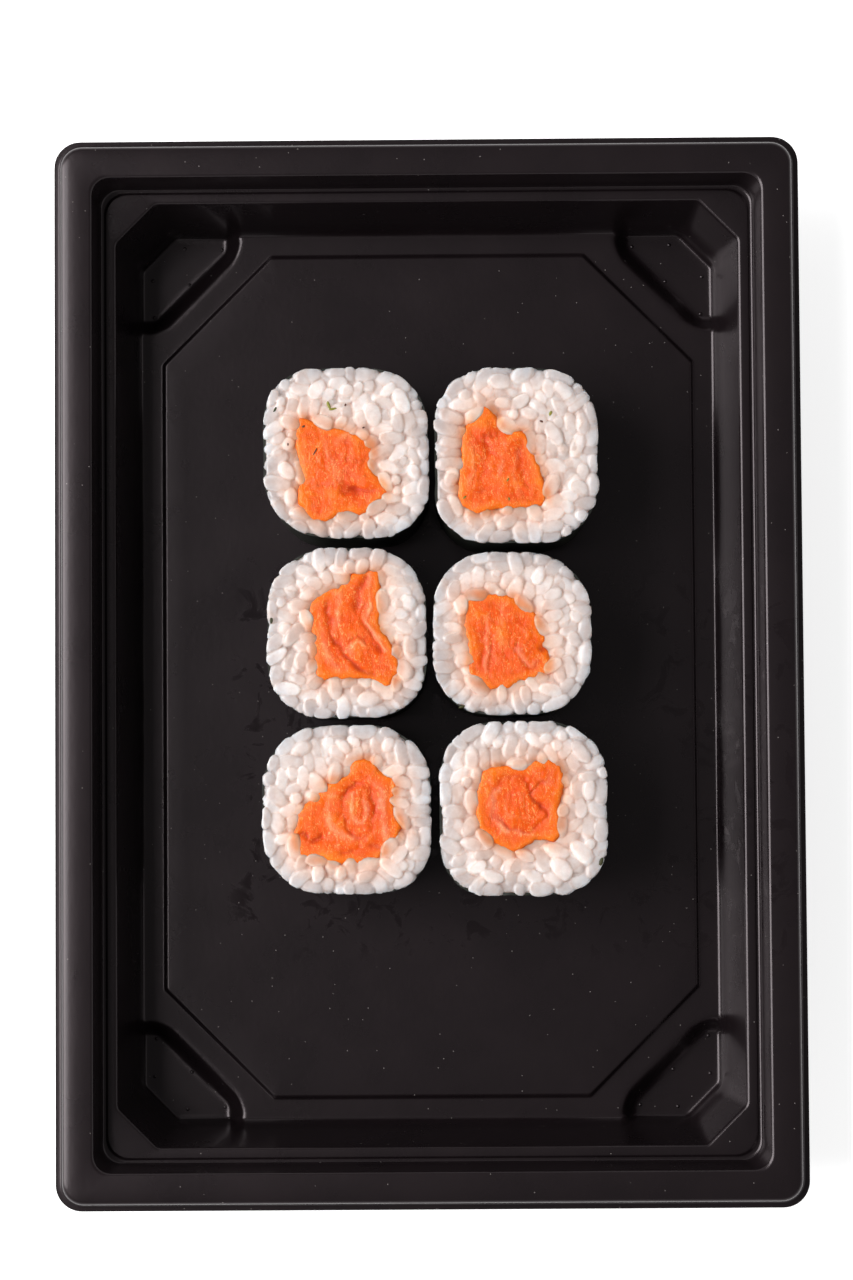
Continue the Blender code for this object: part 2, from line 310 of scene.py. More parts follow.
# inset from the lip's edge, height, radius of the bend
EDGE_PROFILE = (
    (0.0, LIP_HEIGHT, 0),
    (1.0, LIP_HEIGHT, 0.35),
    (1.5, RIM_HEIGHT - 0.14, 0.85),
    (3.7, RIM_HEIGHT, 20.0),  # the rim is slightly crowned
    (6.88, RIM_HEIGHT, 0.6),
    (7.72, SHELF_HEIGHT - 0.3, 0.45),
    (8.35, SHELF_HEIGHT - 0.3, 0.2),
    (8.6, SHELF_HEIGHT, 0.3),
    (WALL_TOP, SHELF_HEIGHT, 0.6),
    (WALL_TOP + 1.0 * WALL_SLANT, SHELF_HEIGHT - 1.0, 0),
)
BEND_STEPS = 5
# corner shapes on the way in: inset, chamfer, radius
CORNER_SHAPES = (
    (0.0, 4.6 * ROUND, 4.6),
    (2.2, 3.2 * ROUND, 3.2),
    (6.9, 3.0 * ROUND, 3.0),
    (8.7, 4.0 * ROUND, 4.0),
    (9.7, 7.38, 1.4),
    (10.1, 7.15, 1.2),
    (11.5, 6.33, 1.6),
    (13.95, 4.89, 4.6),
)


def rounded_profile(corners):
    """The points of a profile whose corners are rounded by their radii."""
    points = [np.array(corners[0][:2])]
    for before, here, after in zip(corners, corners[1:], corners[2:]):
        corner = np.array(here[:2])
        to_before = np.array(before[:2]) - corner
        to_after = np.array(after[:2]) - corner
        to_before /= np.linalg.norm(to_before)
        to_after /= np.linalg.norm(to_after)
        half = math.acos(np.clip(to_before @ to_after, -1, 1)) / 2
        reach = here[2] / math.tan(half)
        between = to_before + to_after
        middle = corner + between / np.linalg.norm(between) * here[2] / math.sin(half)
        start = corner + to_before * reach - middle
        end = corner + to_after * reach - middle
        sweep = math.pi - 2 * half
        for step in range(BEND_STEPS + 1):
            share = step / BEND_STEPS
            near_start, near_end = (math.sin(part * sweep) / math.sin(sweep) for part in (1 - share, share))
            points.append(middle + start * near_start + end * near_end)
    points.append(np.array(corners[-1][:2]))
    return np.array(points)


def corner_shape(inset):
    shapes = np.array(CORNER_SHAPES)
    return np.interp(inset, shapes[:, 0], shapes[:, 1]), np.interp(inset, shapes[:, 0], shapes[:, 2])


edge_rings = []
for inset, height in rounded_profile(EDGE_PROFILE):
    outline = tray_outline(inset, *corner_shape(inset))
    edge_rings.append(np.column_stack([outline, np.full(len(outline), height)]))
print("lip to shelf:", len(edge_rings), "rings of", len(edge_rings[0]), "points")

# %% [markdown]
# ## Wall, floor and the four sunk corners
#
# Here the real shape is the meeting of two hollows: the tray itself, whose wall runs down into a wide
# curve, and in each corner a deeper pocket whose floor is the foot that the tray stands on. Formulas for
# the two hollows are joined with a soft edge, as hot plastic would join them. A Boolean would join them
# too, but with a hard edge that is awkward to round.

# %% Heights inside the wall
FLOOR = 3.5
PANEL = 4.2
FOOT = LOWEST[2] + SHEET
CURVE_TOP = 8.5  # the wall's wide curve begins at this height
FLOOR_INSET = 13.95
PANEL_FOOT = 17.0
PANEL_CHAMFER = 19.35
PANEL_EDGE = 17.8
KNEE = 0.86  # where the wall's straight part would meet the curve's end
# Where the pocket's sides lie at its floor, from the tray's middle along one or both axes, and how far they
# move for each millimetre up: the chamfered wall, the long slope towards the panel, and the two ends.
CHAMFER_AT, CHAMFER_LEAN = 98.0, 0.24
SLOPE_AT, SLOPE_LEAN = 85.9, 1.1
END_AT, END_LEAN = 36.5, 0.767
ACROSS = 0.79  # turns a length along the floor into one across the slope
POCKET_BEND = 0.55
HALVINGS = 24
HAIR = 0.02  # the short way, in mm, over which the wall's slope is measured


def wall_height(inset):
    """The tray's own height at this inset, without its sunk corners."""
    curve_start = WALL_TOP + (SHELF_HEIGHT - CURVE_TOP) * WALL_SLANT
    knee = curve_start + KNEE * (CURVE_TOP - FLOOR) * WALL_SLANT
    t = np.linspace(0, 1, 60)
    across = (1 - t) ** 2 * curve_start + 2 * t * (1 - t) * knee + t**2 * FLOOR_INSET
    down = (1 - t) ** 2 * CURVE_TOP + 2 * t * (1 - t) * FLOOR + t**2 * FLOOR
    straight = SHELF_HEIGHT - (inset - WALL_TOP) / WALL_SLANT
    return np.where(inset < curve_start, straight, np.interp(inset, across, down))


def both(a, b, radius):
    """Inside both hollows, with their meeting rounded."""
    past = np.hypot(np.maximum(radius - a, 0), np.maximum(radius - b, 0))
    return np.maximum(radius, np.minimum(a, b)) - past


def either(a, b, width):
    """Inside either hollow, with the edge between them softened."""
    overlap = np.maximum(width - np.abs(a - b), 0)
    return np.maximum(a, b) + overlap**2 / (4 * np.maximum(width, 1e-6))


def pocket_depth(x, y, z):
    """How far inside a sunk corner's hollow a point is."""
    p = np.abs(x)
    q = np.abs(y) - LONGER_BY
    level = z - FOOT
    lean = 1 / math.hypot(1, WALL_SLANT)
    wall = HALF_WIDTH - WALL_TOP - (SHELF_HEIGHT - z) * WALL_SLANT
    long_wall = (wall - p) * lean
    short_wall = (wall - q) * lean
    chamfer = (CHAMFER_AT + level * CHAMFER_LEAN - (p + q)) / math.sqrt(2) * lean
    diagonal = (p + q - SLOPE_AT + SLOPE_LEAN * level) / math.sqrt(2) * ACROSS
    near_end = (q - END_AT + END_LEAN * level) * ACROSS
    far_end = (p - END_AT + END_LEAN * level) * ACROSS
    low_down = smoothstep(4.5, 0.8, level)
    wall_bend = 2.6 - 2.1 * low_down
    end_bend = 2.0 - 1.4 * low_down
    walls = both(both(long_wall, chamfer, wall_bend), short_wall, wall_bend)
    slopes = both(both(diagonal, near_end, end_bend), far_end, end_bend)
    return both(both(walls, slopes, end_bend), level, POCKET_BEND)


def sheet_height(x, y, inset):
    """Where the sheet's top surface lies, found by halving the range that it must be in."""
    main = wall_height(inset)
    slope = (wall_height(inset + HAIR) - wall_height(inset - HAIR)) / (2 * HAIR)
    steep = np.sqrt(1 + slope**2)
    low = np.full(x.shape, FOOT - 0.5)
    high = main + 0.5
    for _ in range(HALVINGS):
        z = (low + high) / 2
        soft = POCKET_BEND * smoothstep(8.0, 4.2, z) + 1e-4
        inside = either((z - main) / steep, pocket_depth(x, y, z), soft) > 0
        high = np.where(inside, z, high)
        low = np.where(inside, low, z)
    return (low + high) / 2


print("the wall's foot is", float(wall_height(FLOOR_INSET)), "mm up")

# %% [markdown]
# ## Points spread along the wall
#
# The formulas give the sheet's height anywhere. For a mesh, each column runs from the top of the wall to
# the foot of the panel, and its points have to lie where the shape bends. So each column is first followed
# finely, its bends are counted as extra length, and its points are then spread evenly over that length.

# %% Wall and floor
FINE = 170
INNER_RINGS = 44
BEND_PULL = 1.6  # how strongly points gather where a column bends
start_inset = EDGE_PROFILE[-1][0]
wall_insets = np.linspace(start_inset, FLOOR_INSET, FINE)
wall_plan = np.array([tray_outline(inset, *corner_shape(inset)) for inset in wall_insets])
panel_foot = tray_outline(PANEL_FOOT, PANEL_CHAMFER + ROUND * (PANEL_EDGE - PANEL_FOOT), 0.8)
share = np.linspace(0, 1, FINE)[1:, None, None]
floor_plan = wall_plan[-1] * (1 - share) + panel_foot * share
plan = np.concatenate([wall_plan, floor_plan])
insets = np.concatenate([wall_insets, np.linspace(FLOOR_INSET, PANEL_FOOT, FINE)[1:]])
heights = sheet_height(plan[..., 0], plan[..., 1], insets[:, None] * np.ones(plan.shape[1]))
curves = np.concatenate([plan, heights[..., None]], axis=2)

# Each column's points, spread along its curve and drawn a little towards its bends.
steps = np.diff(curves, axis=0)
lengths = np.linalg.norm(steps, axis=2)
ways = steps / lengths[..., None]
turns = np.zeros_like(lengths)
turns[1:] = np.linalg.norm(np.diff(ways, axis=0), axis=2)
travel = np.concatenate([np.zeros((1, lengths.shape[1])), np.cumsum(lengths + BEND_PULL * turns, axis=0)])
inner_rings = np.empty((INNER_RINGS, plan.shape[1], 3))
for column in range(plan.shape[1]):
    even = np.linspace(0, travel[-1, column], INNER_RINGS)
    for axis in range(3):
        inner_rings[:, column, axis] = np.interp(even, travel[:, column], curves[:, column, axis])
print("wall and floor:", INNER_RINGS, "rings, lowest point", round(inner_rings[..., 2].min(), 2), "mm")

# %% [markdown]
# ## The raised panel, and the sheet made whole
#
# A low step, little higher than the sheet is thick, frames the panel that the rolls stand on. The rings go
# up the step and on in towards the middle, where the last ring is filled. All the rings make one grid, and
# Solidify gives the sheet its half millimetre downwards, which is how a formed sheet is measured.

# %% Panel, and the whole sheet
STEP_PROFILE = ((17.17, 3.51), (17.33, 3.62), (17.52, 3.86), (17.7, 4.08), (17.86, 4.18), (18.1, PANEL))
PANEL_SHARES = (0.93, 0.8, 0.6, 0.35, 0.05)  # the rings on the panel, as shares of its outline
LAST_RING = (3, 5)  # only the last ring's points are as near the middle as this
SMOOTH_ANGLE = math.radians(50)
panel_rings = []
for inset, height in STEP_PROFILE:
    outline = tray_outline(inset, PANEL_CHAMFER + ROUND * (PANEL_EDGE - inset), 0.9)
    panel_rings.append(np.column_stack([outline, np.full(len(outline), height)]))
for scale in PANEL_SHARES:
    panel_rings.append(panel_rings[len(STEP_PROFILE) - 1] * (scale, scale, 1))

tray_points = np.concatenate([edge_rings, inner_rings[1:], panel_rings])
tray = laid_on(tray_points)
bpy.ops.object.mode_set(mode="EDIT")
bpy.ops.mesh.select_all(action="DESELECT")
bpy.ops.object.mode_set(mode="OBJECT")
innermost = np.abs(vertex_places(tray))
is_inner = (innermost[:, 0] < LAST_RING[0]) & (innermost[:, 1] < LAST_RING[1])
tray.data.vertices.foreach_set("select", is_inner)
bpy.ops.object.mode_set(mode="EDIT")
bpy.ops.mesh.select_mode(type="VERT")
bpy.ops.mesh.edge_face_add()
bpy.ops.mesh.select_all(action="SELECT")
bpy.ops.mesh.flip_normals()
bpy.ops.object.mode_set(mode="OBJECT")
if tray.data.polygons[0].normal.z < 0:
    tray.data.flip_normals()
sheet = tray.modifiers.new("sheet", "SOLIDIFY")
sheet.thickness = SHEET * MM
sheet.offset = -1
sheet.use_even_offset = False
activate(tray)
bpy.ops.object.modifier_apply(modifier="sheet")
bpy.ops.object.shade_smooth_by_angle(angle=SMOOTH_ANGLE)
tray.data.update()
print("tray:", round(vertex_places(tray)[:, 2].min(), 3), "mm at its lowest")

# %% [markdown]
# ## Black sheet plastic
#
# Tray stock is polystyrene or polyester sheet, dyed black all through and formed hot. It comes off the
# mould satin: smooth to the finger, with a very fine orange peel that blurs what it mirrors. In the
# material that is a near-black with a breath of brown, a roughness of a quarter to a third, a shallow bump,
# and a thin clearer coat that gives the bends their bright lines. A faint rosy tint on what it mirrors
# keeps the black warm. Specks of dust cling to it, and near the rolls it is smeared and shinier.

# %% Black sheet plastic
black_plastic, tree, shader = new_material("satin_black_sheet_plastic")
place = add_node(tree, "ShaderNodeTexCoord").outputs["Object"]
settings = {"Scale": per_mm(14), "Detail": 4.0, "Roughness": 0.6}
cloudy = add_node(tree, "ShaderNodeTexNoise", settings, {"Vector": place}).outputs["Fac"]
dyed = ramp(tree, cloudy, ((0.3, "#130E10"), (0.7, "#171113")))
# Dust: a speck in the middle of some of the cells of a fine pattern.
cells = add_node(tree, "ShaderNodeTexVoronoi", {"Scale": per_mm(1.5), "Randomness": 1.0}, {"Vector": place})
few = add_node(tree, "ShaderNodeMath", {"operation": "LESS_THAN", 1: 0.065}, {0: cells.outputs["Distance"]})
chosen = add_node(tree, "ShaderNodeMath", {"operation": "GREATER_THAN", 1: 0.62}, {0: cells.outputs["Color"]})
dusty = product(tree, few.outputs[0], chosen.outputs[0])
tree.links.new(tinted(tree, dusty, dyed, "#787270"), shader.inputs["Base Color"])
uneven = add_node(tree, "ShaderNodeMapRange", {"To Min": 0.24, "To Max": 0.32}, {"Value": cloudy})
# Water and starch from the rolls have left smears beside them, on the left and below.
settings = {"Scale": per_mm(5), "Detail": 5.0, "Roughness": 0.62, "Distortion": 0.8}
smears = add_node(tree, "ShaderNodeTexNoise", settings, {"Vector": place}).outputs["Fac"]
apart = add_node(tree, "ShaderNodeSeparateXYZ", links={0: place}).outputs
wet = None
for value, low, high in (
    (apart["X"], -37 * MM, -33 * MM),
    (apart["Y"], 22 * MM, 8 * MM),
    (apart["Y"], -52 * MM, -45 * MM),
    (smears, 0.56, 0.62),
):
    settings = {"From Min": low, "From Max": high}
    here = add_node(tree, "ShaderNodeMapRange", settings, {"Value": value}).outputs[0]
    wet = here if wet is None else product(tree, wet, here)
slick = add_node(tree, "ShaderNodeMix", {"data_type": "FLOAT", 3: 0.13}, {0: wet, 2: uneven.outputs[0]})
tree.links.new(slick.outputs[0], shader.inputs["Roughness"])
peel = add_node(tree, "ShaderNodeTexNoise", {"Scale": per_mm(1.1), "Detail": 3.0}, {"Vector": place})
rough_up(tree, shader, peel.outputs["Fac"], 0.5, 0.03)
mirroring = {"IOR": 1.45, "Specular Tint": (1.0, 0.86, 0.9, 1.0), "Coat Weight": 0.15, "Coat Roughness": 0.09}
set_inputs(shader, mirroring)
finish_piece(tray, "formed_tray", black_plastic, ["tray"])

# %% [markdown]
# ## Vent pips
#
# The mould sucks the sheet down through small holes in its deepest corners, and each hole leaves a pip, 0.7
# mm across. Each sunk corner has five: at the two ends, at the two corners by the walls, and in the middle
# of the long slope. A small sphere, flattened and sunk by half, makes one, and a loop makes the others the
# same way. A bump in the material would be quicker, but a pip stands up and catches the light.

# %% Vent pips
PIP_WIDTH = 0.7
PIP_HEIGHT = 0.22
# In the +X +Y corner, from the middle of the tray. The last lies on the corner's diagonal, and the other two
# have mirror images in it.
PIP_PLACES = ((50.2, 72.4), (49.9, 65.6), (43.5, 71.6))


def make_pips():
    places = []
    for x, y in PIP_PLACES:
        places += [(x, y), (y - LONGER_BY, x + LONGER_BY)]
    pips = []
    for x, y in places[:-1]:
        for sign_x in (-1, 1):
            for sign_y in (-1, 1):
                bpy.ops.object.select_all(action="DESELECT")
                spot = (sign_x * x * MM, sign_y * y * MM, FOOT * MM)
                size = PIP_WIDTH / 2 * MM
                bpy.ops.mesh.primitive_uv_sphere_add(segments=10, ring_count=6, radius=size, location=spot)
                bpy.context.object.scale.z = 2 * PIP_HEIGHT / PIP_WIDTH
                bpy.ops.object.transform_apply(location=True, rotation=True, scale=True)
                pips.append(bpy.context.object)
    return joined(pips)


finish_piece(make_pips(), "vent_pips", black_plastic)

# %% [markdown]
# ## The rolls' measures
#
# No two pieces of a hand-made roll are alike. Each has its own centre, size and corner radii, and its own
# salmon outline, in millimetres about the centre of the roll. A smooth closed curve runs through the
# outline's points.

# %% The rolls' measures
ROLLS = {
    "roll_1": {
        "centre": (-14.15, 37.6),
        "size": (28.9, 29.8),
        "corners": (10.6, 9.2, 11.2, 9.2),
        "salmon": (
            (-7.9, 5.9), (-3.6, 4.8), (0.8, 3.5), (4.0, 2.2), (4.8, -0.5), (4.6, -3.0), (7.2, -6.5),
            (5.2, -9.0), (3.0, -10.4), (-1.0, -10.6), (-4.4, -11.9), (-7.7, -9.2), (-8.3, -6.5), (-7.3, -4.0),
            (-8.5, 1.2),
        ),
    },
    "roll_2": {
        "centre": (15.35, 36.95),
        "size": (28.5, 30.6),
        "corners": (10.4, 9.8, 9.0, 10.2),
        "salmon": (
            (-5.4, 8.7), (-3.7, 7.3), (-2.6, 5.4), (-0.6, 4.2), (1.5, 3.9), (2.8, 0.4), (4.4, -3.6),
            (5.2, -7.4), (3.4, -9.0), (-3.6, -9.4), (-7.8, -9.7), (-10.0, -6.2), (-9.5, -0.8), (-8.9, 5.0),
            (-7.1, 6.3),
        ),
    },
    "roll_3": {
        "centre": (-14.15, 6.4),
        "size": (27.7, 29.5),
        "corners": (10.4, 10.6, 9.6, 9.2),
        "salmon": (
            (4.6, 10.8), (5.8, 9.6), (5.8, 4.5), (5.6, 0.8), (7.8, -2.0), (8.8, -6.0), (7.2, -9.1),
            (4.0, -8.0), (-1.6, -7.8), (-4.2, -7.9), (-5.6, -5.8), (-5.5, -1.6), (-6.6, 3.2), (-4.8, 6.2),
            (-1.0, 8.1), (0.8, 9.9),
        ),
    },
    "roll_4": {
        "centre": (14.45, 6.1),
        "size": (27.5, 28.3),
        "corners": (11.2, 9.8, 9.8, 10.4),
        "salmon": (
            (-7.7, 6.4), (-0.8, 6.6), (1.9, 4.9), (3.9, 3.0), (5.6, -1.4), (6.1, -6.4), (2.8, -7.7),
            (0.2, -8.9), (-3.6, -9.6), (-7.3, -7.0), (-7.4, -3.0), (-8.2, 2.6),
        ),
    },
    "roll_5": {
        "centre": (-14.35, -24.1),
        "size": (29.3, 29.2),
        "corners": (10.6, 11.0, 10.8, 9.0),
        "salmon": (
            (1.4, 8.2), (4.4, 8.4), (5.9, 6.5), (8.7, 4.6), (8.0, 1.4), (9.3, -3.0), (7.4, -6.0),
            (4.7, -8.9), (-0.8, -9.3), (-4.6, -8.3), (-7.6, -7.9), (-9.0, -4.2), (-8.2, -0.6), (-5.6, 2.2),
            (-3.4, 4.7), (-0.3, 5.6),
        ),
    },
    "roll_6": {
        "centre": (16.1, -24.1),
        "size": (29.1, 30.2),
        "corners": (10.4, 9.6, 8.6, 9.4),
        "salmon": (
            (-7.0, 6.3), (-4.4, 7.2), (-0.1, 7.2), (2.6, 8.2), (5.5, 8.1), (6.9, 4.8), (6.2, 0.6),
            (6.3, -4.0), (4.9, -5.6), (1.9, -5.4), (-1.6, -7.4), (-4.2, -6.4), (-6.6, -4.6), (-8.1, -1.0),
            (-7.9, 2.4),
        ),
    },
}
NORI_THICKNESS = 0.4
print("rolls:", len(ROLLS))

# %% [markdown]
# ## Curves and distances in the plane of the cut
#
# A few formulas serve all three materials: a smooth curve through a few points, an outline with its points
# at even distances, and how far a point lies outside a roll or a closed loop. That distance is negative
# inside. It tells the rice where it may lie, and the colours how far they reach.

# %% Curves and distances
QUARTER_STEPS = 24  # points round each corner of a roll


def smooth_curve(points, steps=8, closed=True):
    """A Catmull-Rom curve through the points."""
    points = np.array(points, float)
    if not closed:
        points = np.concatenate([2 * points[:1] - points[1:2], points, 2 * points[-1:] - points[-2:-1]])
    count = len(points) if closed else len(points) - 3
    t = (np.arange(steps) / steps)[:, None]
    curve = []
    for i in range(count):
        shift = 0 if closed else 1
        a, b, c, d = (points[(i + k + shift) % len(points)] for k in (-1, 0, 1, 2))
        squared = a - b * 2.5 + c * 2 - d / 2
        cubed = b * 1.5 - a / 2 - c * 1.5 + d / 2
        curve.append(b + (c - a) * t / 2 + squared * t**2 + cubed * t**3)
    if not closed:
        curve.append(points[-2:-1])
    return np.concatenate(curve)


def even_loop(loop, count):
    """A closed loop with this many points, at even distances."""
    whole = np.concatenate([loop, loop[:1]])
    along = np.concatenate([[0], np.cumsum(np.linalg.norm(np.diff(whole, axis=0), axis=1))])
    even = np.arange(count) / count * along[-1]
    return np.stack([np.interp(even, along, whole[:, 0]), np.interp(even, along, whole[:, 1])], 1)


def roll_distance(places, roll):
    """How far each point, about the roll's centre, lies outside the roll's outline (negative inside)."""
    x, y = places[..., 0], places[..., 1]
    ne, nw, sw, se = roll["corners"]
    radius = np.where(y > 0, np.where(x > 0, ne, nw), np.where(x > 0, se, sw))
    past_x = np.abs(x) - roll["size"][0] / 2 + radius
    past_y = np.abs(y) - roll["size"][1] / 2 + radius
    outside = np.hypot(np.maximum(past_x, 0), np.maximum(past_y, 0))
    return outside + np.minimum(np.maximum(past_x, past_y), 0) - radius


def roll_outline(roll, shrink, count):
    """The roll's outline moved in by shrink, as points at even distances about the roll's centre."""
    outline = []
    signs = ((1, 1), (-1, 1), (-1, -1), (1, -1))
    for quarter, (corner, sign) in enumerate(zip(roll["corners"], signs)):
        radius = corner - shrink
        turn = (quarter + np.linspace(0, 1, QUARTER_STEPS)) * math.pi / 2
        middle = np.array(sign) * (np.array(roll["size"]) / 2 - shrink - radius)
        outline.append(middle + radius * circle_way(turn))
    return even_loop(np.concatenate(outline), count)


def loop_distance(places, loop):
    """How far each point lies outside a closed loop (negative inside)."""
    following = np.roll(loop, -1, axis=0)
    edge = following - loop
    to_point = places[:, None] - loop[None]
    share = np.clip((to_point * edge).sum(2) / (edge**2).sum(1), 0, 1)
    nearest = np.linalg.norm(to_point - share[..., None] * edge, axis=2).min(1)
    above = (loop[None, :, 1] > places[:, None, 1]) != (following[None, :, 1] > places[:, None, 1])
    with np.errstate(divide="ignore", invalid="ignore"):
        crossing = loop[:, 0] + (places[:, None, 1] - loop[:, 1]) / edge[:, 1] * edge[:, 0]
    crossed = above & (places[:, None, 0] < crossing)
    return np.where(crossed.sum(1) % 2 == 1, -nearest, nearest)


for name, roll in ROLLS.items():
    low, high = (np.array(corner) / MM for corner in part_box(name + "_nori"))
    roll["bottom"] = low[2]
    roll["top"] = high[2]
    roll["loop"] = smooth_curve(roll["salmon"])
    print(name, "stands between", round(low[2], 1), "and", round(high[2], 1), "mm")

# %% [markdown]
# ## Seaweed skin
#
# Nori is a felt of tiny red-algae blades, dried in a sheet like paper and toasted. Damp rice pulls it tight
# round the roll, so it lies in shallow waves and its cut top edge is a little ragged. A grid goes round the
# roll, its points are pushed in and out by smooth noise, and Solidify gives it its thickness inwards.

# %% Seaweed skin
NORI_COLUMNS = 150
NORI_RINGS = 15


def wavy(places, size, seed):
    """Smooth noise between about -1 and 1, with waves of this size in millimetres."""
    return np.array([noise.noise(Vector(p) / size + Vector((seed, seed * 0.7, -seed))) for p in places])


def make_nori(name, roll, number):
    outline = roll_outline(roll, 0.05, NORI_COLUMNS)
    levels = np.linspace(roll["bottom"], roll["top"], NORI_RINGS)
    points = np.array([np.column_stack([outline, np.full(NORI_COLUMNS, level)]) for level in levels])
    outward = np.roll(outline, -1, axis=0) - np.roll(outline, 1, axis=0)
    outward = np.stack([outward[:, 1], -outward[:, 0]], 1) / np.linalg.norm(outward, axis=1)[:, None]
    flat = points.reshape(-1, 3)
    stretched = flat * (1, 1, 0.35)
    push = 0.16 * wavy(stretched, 4.0, number) + 0.07 * wavy(flat, 1.3, number + 9) - 0.12
    points[..., :2] += outward * push.reshape(points.shape[:2])[..., None]
    ragged = 0.22 * wavy(points[-1], 1.6, number + 3) - 0.12
    points[-1, :, 2] += ragged
    points[-2, :, 2] += ragged * 0.5
    points[..., :2] += roll["centre"]
    skin = laid_on(points)
    wall = skin.modifiers.new("wall", "SOLIDIFY")
    wall.thickness = NORI_THICKNESS * MM
    wall.offset = -1
    bpy.ops.object.modifier_apply(modifier="wall")
    bpy.ops.object.shade_smooth_by_angle(angle=SMOOTH_ANGLE)
    return skin


nori, tree, shader = new_material("roasted_seaweed")
place = add_node(tree, "ShaderNodeTexCoord").outputs["Object"]
settings = {"Scale": per_mm(1.6), "Detail": 6.0, "Roughness": 0.7}
felt = add_node(tree, "ShaderNodeTexNoise", settings, {"Vector": place}).outputs["Fac"]
green = ramp(tree, felt, ((0.35, "#0B0D09"), (0.55, "#161A10"), (0.75, "#2A2D18")))
tree.links.new(green, shader.inputs["Base Color"])
sheen = add_node(tree, "ShaderNodeMapRange", {"To Min": 0.38, "To Max": 0.62}, {"Value": felt})
tree.links.new(sheen.outputs[0], shader.inputs["Roughness"])
rough_up(tree, shader, felt, 0.6, 0.12)
for number, (name, roll) in enumerate(ROLLS.items()):
    skin = make_nori(name, roll, number)
    finish_piece(skin, name + "_seaweed", nori, [name + "_nori"])

# %% [markdown]
# ## One grain of rice
#
# Cooked sushi rice is short and plump: 3.6 to 5.8 mm long here, about half to two thirds as wide, one end
# blunter than the other. A UV sphere with few faces is enough, because a later step melts all the grains of
# a roll into one smooth skin. Its points are moved by a formula, in four versions that differ in how blunt
# and how bent they are, and only its corners and faces are kept, to be copied.

# %% Grain shapes
GRAIN_SEGMENTS = 14
GRAIN_RINGS = 10
FULLNESS = 2.2  # above 2, a grain's ends are blunter than an ellipse's


def grain_shape(bluntness, bend):
    """Corners and faces of a grain that lies along X, one unit long and wide each way from its middle."""
    bpy.ops.object.select_all(action="DESELECT")
    bpy.ops.mesh.primitive_uv_sphere_add(segments=GRAIN_SEGMENTS, ring_count=GRAIN_RINGS, radius=1)
    grain = bpy.context.object
    grain.rotation_euler = (0, math.pi / 2, 0)
    bpy.ops.object.transform_apply(location=False, rotation=True, scale=False)
    places = np.array([tuple(vert.co) for vert in grain.data.vertices])
    x = places[:, 0]
    round_width = np.maximum(np.sqrt(1 - np.minimum(x**2, 0.9999)), 0.02)
    width = (1 - np.abs(x) ** FULLNESS) ** (1 / FULLNESS) / round_width
    width = np.where(np.abs(x) > 0.999, 1, width) * (1 + bluntness * x)
    places[:, 1] = places[:, 1] * width + bend * (x**2 - 0.4)
    places[:, 2] *= width
    faces = [tuple(face.vertices) for face in grain.data.polygons]
    bpy.data.objects.remove(grain)
    return places, faces


GRAINS = [grain_shape(0.06, 0.05), grain_shape(0.14, -0.1), grain_shape(-0.08, 0.16), grain_shape(0.02, 0.0)]
print("a grain has", len(GRAINS[0][1]), "faces")

# %% [markdown]
# ## How the grains lie
#
# On the cut face the grains are pressed together at all angles, some on end. Dropping them with a physics
# engine would be slow and would settle them flat, so each grain is three circles in a row that push each
# other apart until they fit between the seaweed and the salmon. A second layer, a little lower, shows in
# the gaps.

# %% Packing the grains
TOP_LAYER = 0
LOWER_LAYER = 1
PUSHES = 140  # how often the circles push each other before they are left
TIGHT = 0.72  # a circle's radius as a share of its grain's, so that neighbours press on each other
YIELD = 0.28  # the share of an overlap that one push takes away
WALL_YIELD = 0.6  # the same, where a grain lies too near the seaweed or the fish
SHORT_WAY = 0.05  # the step, in mm, that tells which way a boundary lies


